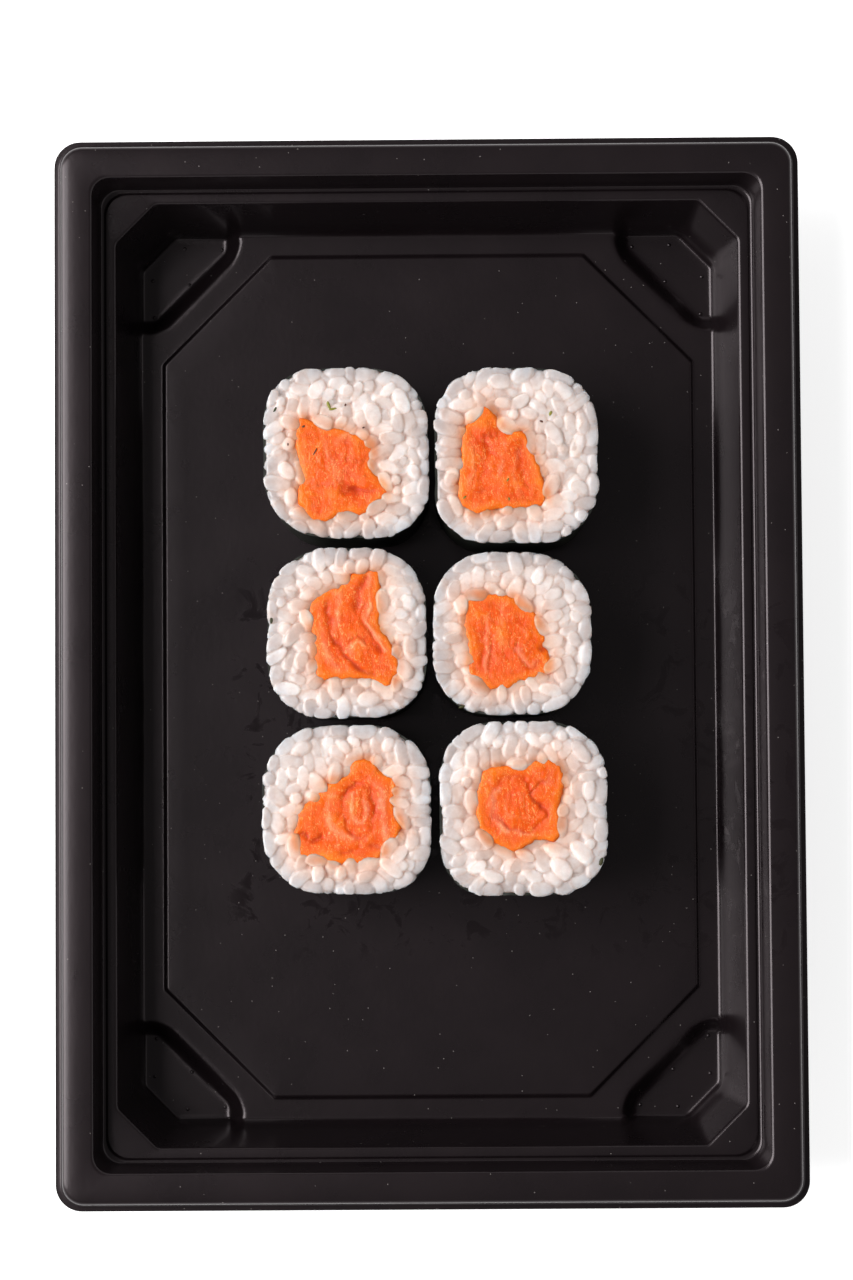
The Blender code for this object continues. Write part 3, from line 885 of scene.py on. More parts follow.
def pack_grains(roll, count, dice, level):
    """Places for the grains of one layer: middle, turn, pitch, half sizes."""
    half_length = dice.uniform(1.8, 2.9, count)
    half_width = np.clip(half_length * dice.uniform(0.5, 0.7, count), 1.15, 1.65)
    pitch = np.abs(dice.normal(0, 0.22, count))
    on_end = dice.random(count) < (0.16 if level == TOP_LAYER else 0.1)
    pitch = np.where(on_end, dice.uniform(0.8, 1.3, count), pitch)
    seen_length = np.hypot(half_length * np.cos(pitch), half_width * np.sin(pitch))
    middle = np.empty((0, 2))
    while len(middle) < count:
        tries = dice.uniform(-0.5, 0.5, (400, 2)) * roll["size"]
        fits = (roll_distance(tries, roll) < -1.2) & (loop_distance(tries, roll["loop"]) > 0.6)
        middle = np.concatenate([middle, tries[fits]])[:count]
    turn = dice.uniform(0, math.pi, count)
    reach = np.maximum(seen_length - half_width, 0)
    radius = np.repeat(half_width, 3) * TIGHT
    owner = np.repeat(np.arange(count), 3)
    other = owner[:, None] != owner[None]
    boundaries = (
        (roll_distance, roll, -1, radius * 0.85 + 0.25),
        (loop_distance, roll["loop"], 1, radius * 0.4),
    )
    for _ in range(PUSHES):
        way = circle_way(turn)
        arm = (way[:, None] * (reach[:, None] * np.array([-1, 0, 1]))[..., None]).reshape(-1, 2)
        circle = np.repeat(middle, 3, axis=0) + arm
        apart = circle[:, None] - circle[None]
        distance = np.linalg.norm(apart, axis=2) + 1e-6
        overlap = np.where(other, np.maximum(radius[:, None] + radius[None] - distance, 0), 0)
        push = (apart / distance[..., None] * overlap[..., None]).sum(1) * YIELD
        for boundary, shape, sign, room in boundaries:
            reading = boundary(circle, shape) * sign
            step_x = (boundary(circle + (SHORT_WAY, 0), shape) * sign - reading) / SHORT_WAY
            step_y = (boundary(circle + (0, SHORT_WAY), shape) * sign - reading) / SHORT_WAY
            push += np.stack([step_x, step_y], 1) * np.maximum(room - reading, 0)[:, None] * WALL_YIELD
        for axis in range(2):
            middle[:, axis] += np.bincount(owner, push[:, axis], count) / 2
        twist = arm[:, 0] * push[:, 1] - arm[:, 1] * push[:, 0]
        turn += np.bincount(owner, twist, count) / (2 * reach**2 + 1.5)
    return middle, turn, pitch, half_length, half_width


print("grains are pushed apart", PUSHES, "times")

# %% [markdown]
# ## Laying the grains
#
# Each grain is a copy of a grain shape with its own size, lumps and tilt. The knife went through all of
# them, so each is flattened from above, softly, by a plane of its own, and those at the rim reach over the
# seaweed. A primitive for each would be slow, so their corners and faces are gathered in lists and made
# into one mesh.

# %% Laying the grains
TOP_COUNT = 84
LOWER_COUNT = 60
LAYER_DROP = (0.0, 0.34)  # how far each layer's grains lie under the cut
RIM_DROP = 0.15  # how much lower the grains by the seaweed lie
GRAIN_TILT = 0.07  # how steeply a grain's flat face usually slopes
PRESSED = 0.16  # how softly a grain's flat face meets its sides


def turn_matrix(turn, pitch, spin):
    """Turns a grain about its own length, then up, then round."""
    cos_t, cos_p, cos_s = (math.cos(angle) for angle in (turn, pitch, spin))
    sin_t, sin_p, sin_s = (math.sin(angle) for angle in (turn, pitch, spin))
    about_x = np.array([[1, 0, 0], [0, cos_s, -sin_s], [0, sin_s, cos_s]])
    about_y = np.array([[cos_p, 0, -sin_p], [0, 1, 0], [sin_p, 0, cos_p]])
    about_z = np.array([[cos_t, -sin_t, 0], [sin_t, cos_t, 0], [0, 0, 1]])
    return about_z @ about_y @ about_x


def lay_grains(roll, cut, number):
    """All the grains of one roll: their points and faces, and each one's middle, axes and brightness."""
    dice = np.random.default_rng(40 + number)
    places, faces, middles, axes = [], [], [], []
    total = 0
    for level, count in ((TOP_LAYER, TOP_COUNT), (LOWER_LAYER, LOWER_COUNT)):
        middle, turn, pitch, half_length, half_width = pack_grains(roll, count, dice, level)
        near_edge = smoothstep(-3.2, -0.8, roll_distance(middle, roll))
        for i in range(count):
            shape, grain_faces = GRAINS[dice.integers(len(GRAINS))]
            thick = half_width[i] * dice.uniform(0.85, 1.0)
            sizes = np.array((half_length[i], half_width[i], thick))
            turned = turn_matrix(turn[i], pitch[i] * dice.choice([-1, 1]), dice.normal(0, 0.35))
            lumps = 1 + 0.05 * wavy(shape, 1.1, dice.uniform(0, 50))[:, None]
            spun = (shape * lumps * sizes) @ turned.T
            top_of = spun[:, 2].max()
            here = cut + dice.uniform(-0.26, 0.14) - LAYER_DROP[level] - RIM_DROP * near_edge[i]
            middles.append((*middle[i], here + dice.uniform(0.25, 0.7) - top_of))
            axes.append(turned / sizes)
            # The knife and the pressing leave each grain a nearly flat face of its own.
            face_height = here + spun[:, :2] @ dice.normal(0, GRAIN_TILT, 2)
            spun = spun + middles[-1]
            high = spun[:, 2] - face_height
            spun[:, 2] = face_height + (high - np.sqrt(high**2 + PRESSED**2)) / 2
            places.append(spun)
            faces += [tuple(corner + total for corner in face) for face in grain_faces]
            total += len(spun)
    tones = dice.uniform(0, 1, len(middles))
    return np.concatenate(places), faces, np.array(middles), np.array(axes), tones


print("grains in each roll:", TOP_COUNT + LOWER_COUNT)

# %% [markdown]
# ## One skin of rice for each roll
#
# The grains lie on a slab that fills the roll just under them. A voxel remesh melts grains and slab into
# one closed skin, with the soft, sticky seams of cooked rice. Grains that only poke through each other
# would show hard creases instead. The steps are listed here, and the two cells that follow say what the
# last ones do.

# %% Rice
SWELL = 0.7  # how far the rice stands above the seaweed's edge
SLAB = 2.8  # how thick the worked top of the rice is
CORE_DEPTH = 0.6  # the slab's top, under the cut face
CORE_COLUMNS = 96
CORE_SHARES = (0.95, 0.75, 0.58, 0.42, 0.25, 0.1, 0)  # the slab's rings, from the seaweed to the fish
VOXEL = 0.2
FAR = 99.0  # further than any grain


def make_rice(name, roll, number):
    cut = roll["top"] + SWELL
    places, faces, middles, axes, tones = lay_grains(roll, cut, number)
    places[:, 2] += 0.14 * wavy(places * (1, 1, 0), 5.0, number)
    places[:, 2] = np.maximum(places[:, 2], cut - SLAB + 0.4)
    # Grains at the rim lean on the seaweed and reach over its edge.
    out = roll_distance(places[:, :2], roll)
    inward = places[:, :2] / np.linalg.norm(places[:, :2], axis=1)[:, None]
    over = 0.45 + 0.3 * wavy(places * (1, 1, 0), 2.6, number + 20)
    limit = NORI_THICKNESS + 0.1 - over * smoothstep(roll["top"] - 0.5, roll["top"] + 0.1, places[:, 2])
    places[:, :2] -= inward * np.maximum(out + limit, 0)[:, None]
    mesh = bpy.data.meshes.new(name)
    mesh.from_pydata((places + (*roll["centre"], 0)) * MM, [], faces)
    grains = bpy.data.objects.new(name, mesh)
    bpy.context.scene.collection.objects.link(grains)
    slab = make_slab(roll, cut, number)
    activate(slab)
    grains.select_set(True)
    bpy.ops.object.join()
    slab.data.remesh_voxel_size = VOXEL * MM
    bpy.ops.object.voxel_remesh()
    deepen(slab, roll, cut)
    bpy.ops.object.shade_smooth()
    mark_grains(slab, roll, cut, middles, axes, tones)
    return slab


print("the remesh has cells of", VOXEL, "mm")

# %% [markdown]
# ## The slab, and the way down
#
# The slab is a shallow ring between seaweed and fish. Once it is melted with the grains, its flat underside
# is taken away and its edges are drawn down to the bottom of the roll. Nothing shows down there, so long
# plain faces are enough, where a remesh of the whole height would make many thousands.

# %% Slab
def make_slab(roll, cut, number):
    """The rice under the grains: a shallow ring from the seaweed to the fish, closed all round."""
    hole = even_loop(roll["loop"], CORE_COLUMNS)
    middle = hole.mean(0)
    away = (hole - middle) / np.linalg.norm(hole - middle, axis=1)[:, None]
    reach = np.full(CORE_COLUMNS, 30.0)
    step = np.full(CORE_COLUMNS, 15.0)
    for _ in range(16):
        outside = roll_distance(middle + away * reach[:, None], roll) > -NORI_THICKNESS - 0.1
        reach += np.where(outside, -step, step)
        step /= 2
    outer = middle + away * reach[:, None]
    rings = [(0, cut - SLAB), (1, cut - SLAB), (1, cut - 1.2)]
    rings += [(share, cut - CORE_DEPTH) for share in CORE_SHARES]
    points = []
    for share, level in rings:
        ring = hole + (outer - hole) * share
        ring = np.column_stack([ring, np.full(CORE_COLUMNS, level)])
        if level == cut - CORE_DEPTH:
            ring[:, 2] += 0.2 * wavy(ring, 1.4, number)
        points.append(ring)
    points.append(points[0])
    points = np.array(points)
    points[..., :2] += roll["centre"]
    slab = laid_on(points)
    face_outwards(slab)
    return slab


def deepen(rice_top, roll, cut):
    """Takes away the slab's underside, draws its edges down to the roll's bottom and closes it there."""
    under = (cut - SLAB + 0.08) * MM
    mesh = bmesh.new()
    mesh.from_mesh(rice_top.data)
    gone = [face for face in mesh.faces if all(vert.co.z < under for vert in face.verts)]
    bmesh.ops.delete(mesh, geom=gone, context="FACES")
    edges = [edge for edge in mesh.edges if edge.is_boundary]
    drawn = bmesh.ops.extrude_edge_only(mesh, edges=edges)["geom"]
    for vert in drawn:
        if isinstance(vert, bmesh.types.BMVert):
            vert.co.z = roll["bottom"] * MM
    closing = [edge for edge in mesh.edges if edge.is_boundary]
    bmesh.ops.bridge_loops(mesh, edges=closing)
    bmesh.ops.recalc_face_normals(mesh, faces=mesh.faces)
    mesh.to_mesh(rice_top.data)
    mesh.free()


print("the slab is", SLAB, "mm thick")

# %% [markdown]
# ## What the material has to know
#
# The remesh forgets which grain a point came from, so that is worked out again by distance. Six values are
# then kept on every point: the brightness of its grain, how near a seam between two grains lies, where the
# material paints shade, how near the fish and the seaweed lie, where the fish has stained the rice, and how
# deep the point lies, which darkens the hollows as painted shade.

# %% Marks on the rice
def mark_grains(rice_top, roll, cut, middles, axes, tones):
    """Keeps the six values on every point."""
    ends = vertex_places(rice_top)
    about = ends - (*roll["centre"], 0)
    nearest = np.full(len(about), FAR)
    second = np.full(len(about), FAR)
    tone = np.zeros(len(about))
    for middle, axis, bright in zip(middles, axes, tones):
        distance = np.linalg.norm((about - middle) @ axis, axis=1)
        closer = distance < nearest
        second = np.where(closer, nearest, np.minimum(second, distance))
        tone = np.where(closer, bright, tone)
        nearest = np.minimum(nearest, distance)
    from_fish = loop_distance(about[:, :2], roll["loop"])
    from_skin = -roll_distance(about[:, :2], roll)
    blotches = smoothstep(-0.5, 0.5, wavy(about * (1, 1, 0), 3.0, roll["top"]))
    marks = {
        "tone": tone,
        # painted shade: the rice is darkened where two grains meet
        "seam_painted_shade": smoothstep(0.16, 0.0, second - nearest),
        "fish": 1 - smoothstep(0.0, 5.0, from_fish),
        "stain": (1 - smoothstep(0.0, 1.6, from_fish)) * blotches,
        "skin": 1 - smoothstep(0.4, 3.6, from_skin),
        # painted shade: the deeper a point lies under the cut, the darker its rice
        "deep_painted_shade": 1 - smoothstep(cut - 1.3, cut - 0.45, ends[:, 2]),
    }
    keep_marks(rice_top, marks)


print("levels of rice:", TOP_COUNT, "grains over", LOWER_COUNT)

# %% [markdown]
# ## The look of cooked rice
#
# Light goes deep into cooked rice and comes out softened, so most of its look is subsurface scattering, a
# little further in red than in blue. On that lie the tints: each grain its own white, cooler near the
# seaweed, warmer near the fish, orange where the fish has stained it. Painted shade darkens the hollows under
# the cut and the seams between grains. A low roughness gives the wet sheen.

# %% Cooked rice
# The seam and deep tints are painted shade, darkening the gaps between grains and the hollows under the cut.
RICE_TINTS = (
    ("skin", "#E2E6EB"), ("fish", "#FFE6D8"), ("stain", "#FFC79E"), ("deep_painted_shade", "#F9EBE2"), ("seam_painted_shade", "#FBF3EE"),
)
rice, tree, shader = new_material("cooked_rice")
place = add_node(tree, "ShaderNodeTexCoord").outputs["Object"]
settings = {"Scale": per_mm(1.5), "Detail": 4.0, "Roughness": 0.6}
milky = add_node(tree, "ShaderNodeTexNoise", settings, {"Vector": place}).outputs["Fac"]
white = ramp(tree, kept_mark(tree, "tone"), ((0.0, "#DCCFCA"), (0.5, "#EADED9"), (1.0, "#F7EFEC")))
hazy = ramp(tree, milky, ((0.3, "#EDE6E3"), (0.65, "#FFFFFF")))
settings = {"data_type": "RGBA", "blend_type": "MULTIPLY", 0: 1.0}
body = add_node(tree, "ShaderNodeMix", settings, {6: white, 7: hazy}).outputs[2]
for mark, colour in RICE_TINTS:
    body = tinted(tree, kept_mark(tree, mark), body, colour, "MULTIPLY")
tree.links.new(body, shader.inputs["Base Color"])
set_inputs(shader, {"Roughness": 0.28, "IOR": 1.42, "Subsurface Weight": 1.0})
set_inputs(shader, {"Subsurface Radius": (1.0, 0.85, 0.75), "Subsurface Scale": 2.8 * MM})
rough_up(tree, shader, milky, 0.3, 0.05)
for number, (name, roll) in enumerate(ROLLS.items()):
    finish_piece(make_rice(name, roll, number), name + "_grains", rice, [name + "_rice"])

# %% [markdown]
# ## Folds and fat in the salmon
#
# A bar of raw salmon runs through each roll, and the knife shows it end on: folds where two strips press on
# each other, dark clefts, pale lines of fat and a fine grain of muscle fibres. No two are alike, so the
# folds and lines of each roll are drawn as short curves about the middle of the roll, in millimetres.

# %% Folds and fat
# For each roll: clefts as (depth in mm, width in mm, points), and pale lines as (strength, width, points)
FISH = {
    "roll_1": {
        "clefts": (
            (0.9, 0.35, ((-0.2, -6.9), (1.2, -6.2), (3.4, -6.4), (4.6, -6.9))),
            (0.5, 0.9, ((-0.4, -6.2), (1.4, -6.6), (3.4, -6.6))),
            (0.35, 0.3, ((2.6, -1.3), (3.4, -1.1))),
            (0.4, 0.3, ((0.1, -1.4), (0.3, -0.6))),
            (0.2, 0.8, ((0.2, -1.0), (0.6, -3.0), (-0.6, -5.2), (-4.4, -5.8))),
            (0.2, 0.6, ((0.5, 3.0), (0.4, 0.6), (1.4, -1.2), (4.4, -1.4))),
        ),
        "pale": (
            (0.5, 0.5, ((-1.8, 1.5), (-0.4, 2.8), (0.4, 3.2))),
            (0.5, 0.4, ((-1.2, -4.0), (0.2, -2.6))),
            (0.35, 0.7, ((-3.6, 1.4), (-2.2, -1.4), (-1.4, -4.6))),
        ),
    },
    "roll_2": {
        "clefts": (
            (0.5, 0.6, ((-5.2, 3.4), (-3.4, 4.1), (-1.5, 4.0))),
            (0.4, 0.4, ((-6.4, -6.4), (-5.6, -6.0))),
            (0.3, 0.7, ((-5.4, 3.0), (-4.8, 0.6), (-5.6, -2.4))),
            (0.25, 0.6, ((1.2, 2.2), (0.4, -1.4), (1.8, -5.0))),
        ),
        "pale": (
            (0.35, 0.4, ((-2.4, 3.0), (-2.0, 0.0), (-3.2, -3.6))),
            (0.3, 0.4, ((-7.6, 2.4), (-7.4, -2.0), (-8.2, -5.6))),
            (0.3, 0.35, ((0.2, 0.2), (-0.6, -3.6), (0.6, -7.0))),
        ),
    },
    "roll_3": {
        "clefts": (
            (0.9, 0.45, ((-3.4, 5.0), (-2.8, 1.6), (-1.3, -2.5), (1.4, -5.6), (4.8, -7.5))),
            (0.7, 0.7, ((3.6, 9.6), (2.4, 7.2), (1.8, 4.4))),
            (0.5, 0.5, ((3.2, 5.4), (2.8, 2.2), (4.4, -0.6), (6.0, -3.2))),
            (0.35, 0.4, ((0.2, -1.6), (2.0, -0.6), (3.8, -1.8))),
        ),
        "pale": (
            (0.9, 0.35, ((4.2, 10.5), (4.0, 7.6), (4.3, 5.0), (3.6, 2.0), (4.8, -0.4), (6.8, -3.0))),
            (0.6, 0.4, ((-1.2, 7.0), (-1.4, 3.6), (-1.2, 0.0))),
            (0.45, 0.4, ((0.6, -3.0), (1.8, -1.6), (3.4, -2.6))),
            (0.35, 0.5, ((-4.6, 1.0), (-3.8, -3.0), (-1.6, -6.4))),
        ),
    },
    "roll_4": {
        "clefts": (
            (0.5, 0.4, ((0.6, -1.8), (1.6, -4.4), (3.5, -5.8), (4.7, -4.8))),
            (0.9, 0.4, ((4.9, -2.7), (5.9, -2.4), (6.8, -2.6))),
            (0.25, 0.45, ((-5.0, 2.6), (-5.0, -3.0), (-5.4, -6.4))),
            (0.25, 0.45, ((-3.7, 3.4), (-3.7, -3.0), (-4.0, -7.4))),
            (0.5, 0.6, ((-8.0, -5.9), (-7.0, -5.7), (-6.2, -5.9))),
        ),
        "pale": (
            (0.7, 0.35, ((0.9, -2.6), (2.0, -4.6), (3.5, -5.2), (4.3, -4.4))),
            (0.35, 0.4, ((-4.4, 3.0), (-4.4, -2.6), (-4.8, -6.8))),
            (0.3, 0.5, ((-1.6, 5.0), (-1.8, 1.0), (-1.2, -3.0))),
        ),
    },
    "roll_5": {
        "clefts": (
            (0.55, 0.45, ((1.5, 4.4), (-0.3, 2.6), (-0.6, -0.8), (1.2, -4.2), (3.8, -4.2), (5.0, -0.6))),
            (0.4, 0.4, ((5.0, -0.6), (4.4, 2.8), (2.2, 4.2))),
            (0.7, 0.4, ((-8.2, -4.6), (-7.4, -4.3), (-6.4, -4.8))),
            (0.6, 0.4, ((-5.4, -5.2), (-4.4, -4.7))),
            (0.6, 0.4, ((-0.8, -7.4), (0.8, -7.0))),
            (0.6, 0.4, ((4.2, -6.2), (5.6, -6.8))),
        ),
        "pale": (
            (0.6, 0.6, ((-2.5, 2.0), (-2.9, -1.0), (-2.6, -3.2), (-0.6, -4.6), (1.0, -4.9))),
            (0.6, 0.6, ((6.0, 1.4), (6.4, -1.4), (7.0, -5.0))),
            (0.5, 0.4, ((1.2, 2.6), (0.9, -0.4), (2.0, -2.6), (3.4, -1.2), (3.2, 1.6))),
            (0.4, 0.4, ((3.8, 5.4), (6.0, 3.4), (6.6, 1.8))),
        ),
    },
    "roll_6": {
        "clefts": (
            (0.8, 0.4, ((3.5, 4.5), (2.4, 3.4), (1.4, 2.2), (2.6, 0.8), (4.2, -1.2))),
            (0.35, 0.4, ((1.4, 2.2), (0.2, 5.0), (-2.8, 5.2), (-5.2, 2.6), (-4.8, -1.0))),
            (0.4, 0.45, ((-4.8, -1.0), (-2.2, -3.6), (1.6, -3.6), (4.2, -1.4))),
            (0.8, 0.5, ((-2.6, -8.4), (-1.9, -8.0), (-1.2, -8.5))),
            (0.7, 0.5, ((-7.4, 7.2), (-5.9, 7.4))),
        ),
        "pale": (
            (0.6, 0.5, ((-4.4, 3.6), (-5.4, 1.2), (-4.6, -2.0), (-3.0, -4.0))),
            (0.5, 0.45, ((-1.6, -4.2), (0.0, -4.4), (1.4, -4.2))),
            (0.5, 0.5, ((2.6, 5.0), (4.2, 4.2), (4.8, 6.6))),
            (0.25, 0.3, ((-2.6, 2.8), (-2.9, 0.4), (-1.2, -1.6), (1.0, -1.4))),
        ),
    },
}
print("clefts:", sum(len(fish["clefts"]) for fish in FISH.values()))

# %% [markdown]
# ## The bars of salmon
#
# Each bar is a grid laid on its outline and drawn in to one point at each end. Sculpting the cut face by
# hand would look as good, but couldn't be repeated. Here the nearer a point is to one of the curves, the
# deeper it sinks or the higher it stands, and the same nearness is kept on the point for the colour.

# %% Bars of salmon
FISH_COLUMNS = 120
FISH_RINGS = 34
FISH_LEVELS = 5  # rings up the side of the bar
FISH_BEND = 0.5  # how far down the cut edge is rounded


def nearness(places, marks):
    """The strength of each mark at each point, the strongest mark taken."""
    most = np.zeros(len(places))
    flat = np.column_stack([places, np.zeros(len(places))])
    bent = [wavy(flat, 2.1, seed) + 0.5 * wavy(flat, 0.8, seed) for seed in (3.3, 8.1)]
    places = places + 0.6 * np.stack(bent, 1)
    for strength, width, points in marks:
        curve = smooth_curve(points, steps=12, closed=False)
        distance = np.linalg.norm(places[:, None] - curve[None], axis=2).min(1)
        most = np.maximum(most, strength * np.exp(-((distance / width) ** 2)))
    return most * np.clip(0.75 + 0.9 * wavy(flat, 2.4, 5.5), 0.15, 1.1)


def make_salmon(name, roll, number):
    loop = even_loop(roll["loop"], FISH_COLUMNS)
    middle = loop.mean(0)
    flat = np.column_stack([loop, np.zeros(FISH_COLUMNS)])
    frayed = 0.2 + 0.4 * wavy(flat, 0.9, number) + 0.4 * wavy(flat, 2.4, number + 7)
    loop = loop + frayed[:, None] * (loop - middle) / np.linalg.norm(loop - middle, axis=1)[:, None]
    top = roll["top"] + SWELL - 0.1
    rings = []
    for level in np.linspace(roll["bottom"], top - FISH_BEND, FISH_LEVELS):
        rings.append(np.column_stack([loop, np.full(FISH_COLUMNS, level)]))
    for share in np.linspace(0, 1, FISH_RINGS):
        flat = loop + (middle - loop) * share
        edge = np.minimum(-loop_distance(flat, loop) / 0.8, 1)
        level = top - FISH_BEND + FISH_BEND * np.sqrt(np.maximum(1 - (1 - edge) ** 2, 0))
        rings.append(np.column_stack([flat, level]))
    points = np.array(rings)
    about = points[FISH_LEVELS:].reshape(-1, 3).copy()
    plane = about[:, :2]
    relief = 0.2 * wavy(about * (1, 1, 0), 3.4, number) + 0.09 * wavy(about * (1, 0.75, 0), 0.8, number + 5)
    relief -= 0.42 * nearness(plane, FISH[name]["clefts"])
    relief += 0.2 * nearness(plane, FISH[name]["pale"])
    points[FISH_LEVELS:, :, 2] += relief.reshape(-1, FISH_COLUMNS)
    points[-1] = points[-1].mean(0)  # exactly one point, so that the grid closes there
    low_end = np.tile([*middle, roll["bottom"]], (FISH_COLUMNS, 1))
    points = np.concatenate([low_end[None], points])
    points[..., :2] += roll["centre"]
    bar = laid_on(points)
    face_outwards(bar)
    here = vertex_places(bar)
    plane = here[:, :2] - roll["centre"]
    marks = {
        # painted shade: the clefts are coloured a darker red
        "cleft_painted_shade": nearness(plane, FISH[name]["clefts"]),
        "fat": nearness(plane, FISH[name]["pale"]),
        # painted light: the higher the cut face stands, the lighter its colour
        "ridge_painted_light": smoothstep(top - 0.55, top + 0.4, here[:, 2]),
        # painted glow: the salmon's rim is coloured a yellower orange, as if lit through
        "rim": 1 - smoothstep(0.0, 2.4, -loop_distance(plane, loop)),
    }
    keep_marks(bar, marks)
    return bar


print("a bar has", FISH_COLUMNS, "points round it")

# %% [markdown]
# ## The look of raw salmon
#
# Raw salmon is orange with a wet gloss. Its higher parts are painted lighter, as painted light, and a fine
# marbling of fat runs through it, partly painted glints. On that lie the pale lines of fat, a yellower rim
# that is a painted glow, and the red of the clefts, which is painted shade. Light goes in less far than in
# rice, and mostly the red comes out again.

# %% Raw salmon
salmon, tree, shader = new_material("raw_salmon")
place = add_node(tree, "ShaderNodeTexCoord").outputs["Object"]
settings = {"Scale": per_mm(5), "Detail": 3.0, "Roughness": 0.55, "Distortion": 0.6}
patchy = add_node(tree, "ShaderNodeTexNoise", settings, {"Vector": place}).outputs["Fac"]
# The flesh colour follows the height of the cut face: painted light on the ridges, painted shade in the
# hollows.
settings = {"data_type": "FLOAT", 0: 0.5}
mixed = add_node(tree, "ShaderNodeMix", settings, {2: patchy, 3: kept_mark(tree, "ridge_painted_light")}).outputs[0]
flesh = ramp(tree, mixed, ((0.2, "#DC4000"), (0.42, "#E84A00"), (0.6, "#F05A00"), (0.8, "#F87C0C")))
settings = {"Rotation": (0, 0, 0.9), "Scale": (1.0, 0.5, 1.0)}
lain = add_node(tree, "ShaderNodeMapping", settings, {"Vector": place}).outputs[0]
settings = {"Scale": per_mm(0.5), "Detail": 3.0, "Roughness": 0.6, "Distortion": 2.4}
fibres = add_node(tree, "ShaderNodeTexNoise", settings, {"Vector": lain}).outputs["Fac"]
# Fine pale flecks along the fibres: partly fat marbling, partly painted glints.
settings = {"From Min": 0.55, "From Max": 0.65, "To Max": 0.7}
fat_flecks_and_glints = add_node(tree, "ShaderNodeMapRange", settings, {"Value": fibres}).outputs[0]
streaked = product(tree, kept_mark(tree, "fat"), fibres)
# painted glow: a yellower orange laid along the salmon's rim
painted_rim_glow = add_node(tree, "ShaderNodeMath", {"operation": "MULTIPLY", 1: 0.35}, {0: kept_mark(tree, "rim")})
# painted shade: a darker red laid into the clefts of the cut face
settings = {"operation": "MULTIPLY", 1: 1.15, "use_clamp": True}
painted_cleft_shade = add_node(tree, "ShaderNodeMath", settings, {0: kept_mark(tree, "cleft_painted_shade")})
for share, colour in (
    (fat_flecks_and_glints, "#FFB264"), (streaked, "#FFC9A4"), (painted_rim_glow.outputs[0], "#FB9422"), (painted_cleft_shade.outputs[0], "#C83806")
):
    flesh = tinted(tree, share, flesh, colour)
tree.links.new(flesh, shader.inputs["Base Color"])
set_inputs(shader, {"Roughness": 0.2, "IOR": 1.34, "Subsurface Weight": 0.2})
set_inputs(shader, {"Subsurface Radius": (1.0, 0.35, 0.15), "Subsurface Scale": 0.8 * MM})
rough_up(tree, shader, fibres, 0.7, 0.16)
for number, (name, roll) in enumerate(ROLLS.items()):
    finish_piece(make_salmon(name, roll, number), name + "_fish", salmon, [name + "_salmon"])

# %% [markdown]
# ## Crumbs of herb, seaweed and pepper
#
# The knife and the board leave a few crumbs on a cut face: shreds of green herb, olive flakes torn from the
# seaweed, and brown specks, most no larger than a pinhead. Each is a small ball, flattened, turned and
# crumpled, and each kind is joined into one piece.

# %% Crumbs
# for each kind: colour, roughness, and its crumbs as (roll, x, y, length, width, turn in degrees)
CRUMBS = {
    "green_herb_shreds": ("#8C8A2C", 0.5, (
        ("roll_1", -2.9, 8.3, 1.5, 0.5, 110), ("roll_1", -2.2, 7.6, 1.4, 0.4, 10),
        ("roll_2", 6.0, 7.2, 0.9, 0.5, 70),
        ("roll_2", -1.5, -4.3, 0.7, 0.25, 60), ("roll_2", -1.3, -7.6, 0.6, 0.25, 100),
        ("roll_2", -9.0, -7.3, 0.8, 0.3, 40),
    )),
    "olive_seaweed_flakes": ("#3A3A18", 0.55, (
        ("roll_3", -13.0, 2.2, 1.2, 0.5, 85), ("roll_6", 13.3, -9.2, 1.5, 0.7, 70),
        ("roll_4", -8.8, -12.6, 1.1, 0.5, 20),
        ("roll_1", -12.2, 7.6, 1.0, 0.4, 60),
    )),
    "brown_specks": ("#5A2A16", 0.5, (
        ("roll_1", 0.0, 8.3, 0.5, 0.3, 60), ("roll_1", 3.1, 4.3, 0.5, 0.3, 20),
        ("roll_1", -10.0, 1.5, 0.5, 0.3, 90),
        ("roll_1", -5.3, 0.2, 1.4, 0.25, 60), ("roll_1", -7.3, 4.6, 0.6, 0.35, 30),
        ("roll_2", 4.4, 5.8, 0.7, 0.4, 150),
    )),
}


def make_crumbs(crumbs, above):
    """One mesh of crumbs, each laid on what lies under it."""
    whole = []
    for number, (name, x, y, length, width, turn) in enumerate(crumbs):
        centre = ROLLS[name]["centre"]
        place = np.array((centre[0] + x, centre[1] + y))
        bpy.ops.object.select_all(action="DESELECT")
        bpy.ops.mesh.primitive_ico_sphere_add(subdivisions=2, radius=1)
        crumb = bpy.context.object
        shape = np.array([tuple(vert.co) for vert in crumb.data.vertices])
        shape *= 1 + 0.4 * wavy(shape, 0.8, number)[:, None]
        shape *= (length / 2, width / 2, 0.12)
        shape[:, 2] += 0.15 * shape[:, 0] ** 2 - 0.02
        angle = math.radians(turn)
        way = np.array(((math.cos(angle), -math.sin(angle)), (math.sin(angle), math.cos(angle))))
        shape[:, :2] = shape[:, :2] @ way.T + place
        shape[:, 2] += height_under(place, above)
        crumb.data.vertices.foreach_set("co", (shape * MM).ravel())
        whole.append(crumb)
    return joined(whole)


def height_under(place, above):
    """The height, in mm, of the highest of these pieces' points within half a millimetre of this place."""
    near = np.linalg.norm(above[:, :2] - place, axis=1) < 0.5
    return above[near, 2].max()


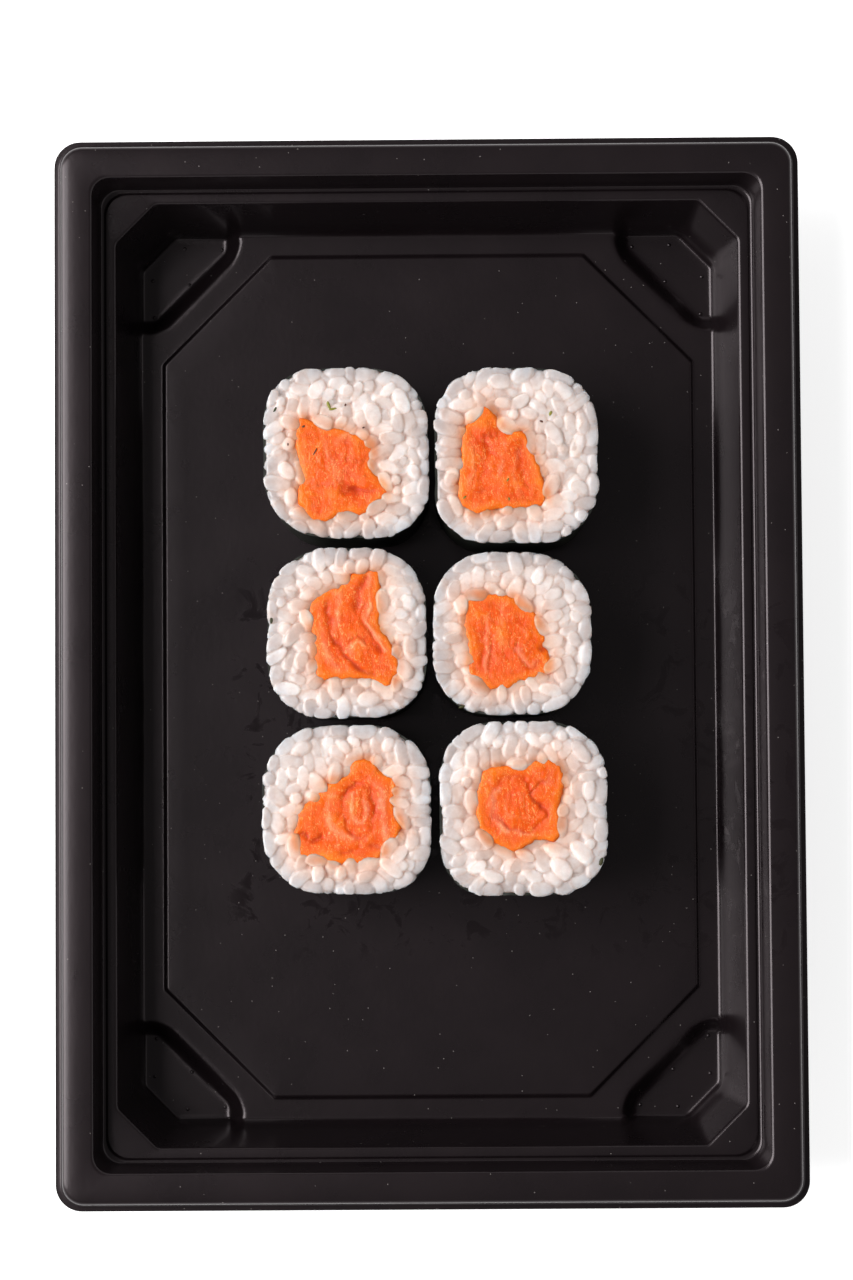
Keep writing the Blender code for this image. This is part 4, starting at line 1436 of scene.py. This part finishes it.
tops = []
for name in ROLLS:
    for piece in (name + "_grains", name + "_fish", name + "_seaweed"):
        tops.append(vertex_places(bpy.data.objects[piece]))
tops = np.concatenate(tops)
for name, (colour, roughness, crumbs) in CRUMBS.items():
    crumb_material, tree, shader = new_material(name)
    place = add_node(tree, "ShaderNodeTexCoord").outputs["Object"]
    settings = {"Scale": per_mm(0.4), "Detail": 3.0, "Roughness": 0.6}
    mottled = add_node(tree, "ShaderNodeTexNoise", settings, {"Vector": place}).outputs["Fac"]
    darker = add_node(tree, "ShaderNodeMapRange", {"To Min": 0.55, "To Max": 1.25}, {"Value": mottled})
    settings = {"data_type": "RGBA", "blend_type": "MULTIPLY", 0: 1.0, 6: linear(colour)}
    mixed = add_node(tree, "ShaderNodeMix", settings, {7: darker.outputs[0]})
    tree.links.new(mixed.outputs[2], shader.inputs["Base Color"])
    shader.inputs["Roughness"].default_value = roughness
    finish_piece(make_crumbs(crumbs, tops), name, crumb_material)

# %% [markdown]
# ## Floor
#
# The tray lies on plain white ground. A white floor turns grey where the tray shades it, so this one also
# gives off light of its own, like a light table, and the shadow all but goes.

# %% Floor
bpy.ops.object.select_all(action="DESELECT")
bpy.ops.mesh.primitive_plane_add(size=4, location=(0, 0, -0.0003))
floor = bpy.context.object
floor.name = "floor"
white_floor, tree, shader = new_material("white_paper")
set_inputs(shader, {"Base Color": linear("#F6F6F6"), "Roughness": 0.9})
set_inputs(shader, {"Emission Color": linear("#FFFFFF"), "Emission Strength": 0.7})
floor.data.materials.append(white_floor)
print("floor:", round(floor.dimensions.x, 2), "m across")

# %% [markdown]
# ## Light
#
# One large soft light stands to the left, low enough for the tray's left wall to stay dark and the right
# one to shine. A single small lamp would make hard spots on the plastic. The rest is a sky that is bright
# at the horizon and dim overhead, so the plastic mirrors little from above.

# %% Light
bpy.context.scene.view_settings.view_transform = "Standard"
world = bpy.data.worlds.new("studio")
world.use_nodes = True
world.node_tree.nodes["Background"].inputs["Color"].default_value = (1, 1, 1, 1)
sky = world.node_tree
way = add_node(sky, "ShaderNodeTexCoord").outputs["Generated"]
up = add_node(sky, "ShaderNodeSeparateXYZ", links={0: way}).outputs["Z"]
settings = {"interpolation_type": "SMOOTHSTEP", "From Max": 0.8, "To Min": 1.0, "To Max": 0.15}
glow = add_node(sky, "ShaderNodeMapRange", settings, {"Value": up})
sky.links.new(glow.outputs[0], sky.nodes["Background"].inputs["Strength"])
bpy.context.scene.world = world


def soft_light(name, place, size, power, aim=(0, 0, 0)):
    data = bpy.data.lights.new(name, "AREA")
    data.shape = "RECTANGLE"
    data.size = size[0]
    data.size_y = size[1]
    data.energy = power
    made = bpy.data.objects.new(name, data)
    made.location = place
    made.rotation_euler = (Vector(place) - Vector(aim)).to_track_quat("Z", "Y").to_euler()
    bpy.context.scene.collection.objects.link(made)
    return made


window = soft_light("window_left", (-0.95, 0.1, 0.9), (0.9, 1.3), 27)
print("window light:", window.data.energy, "W")
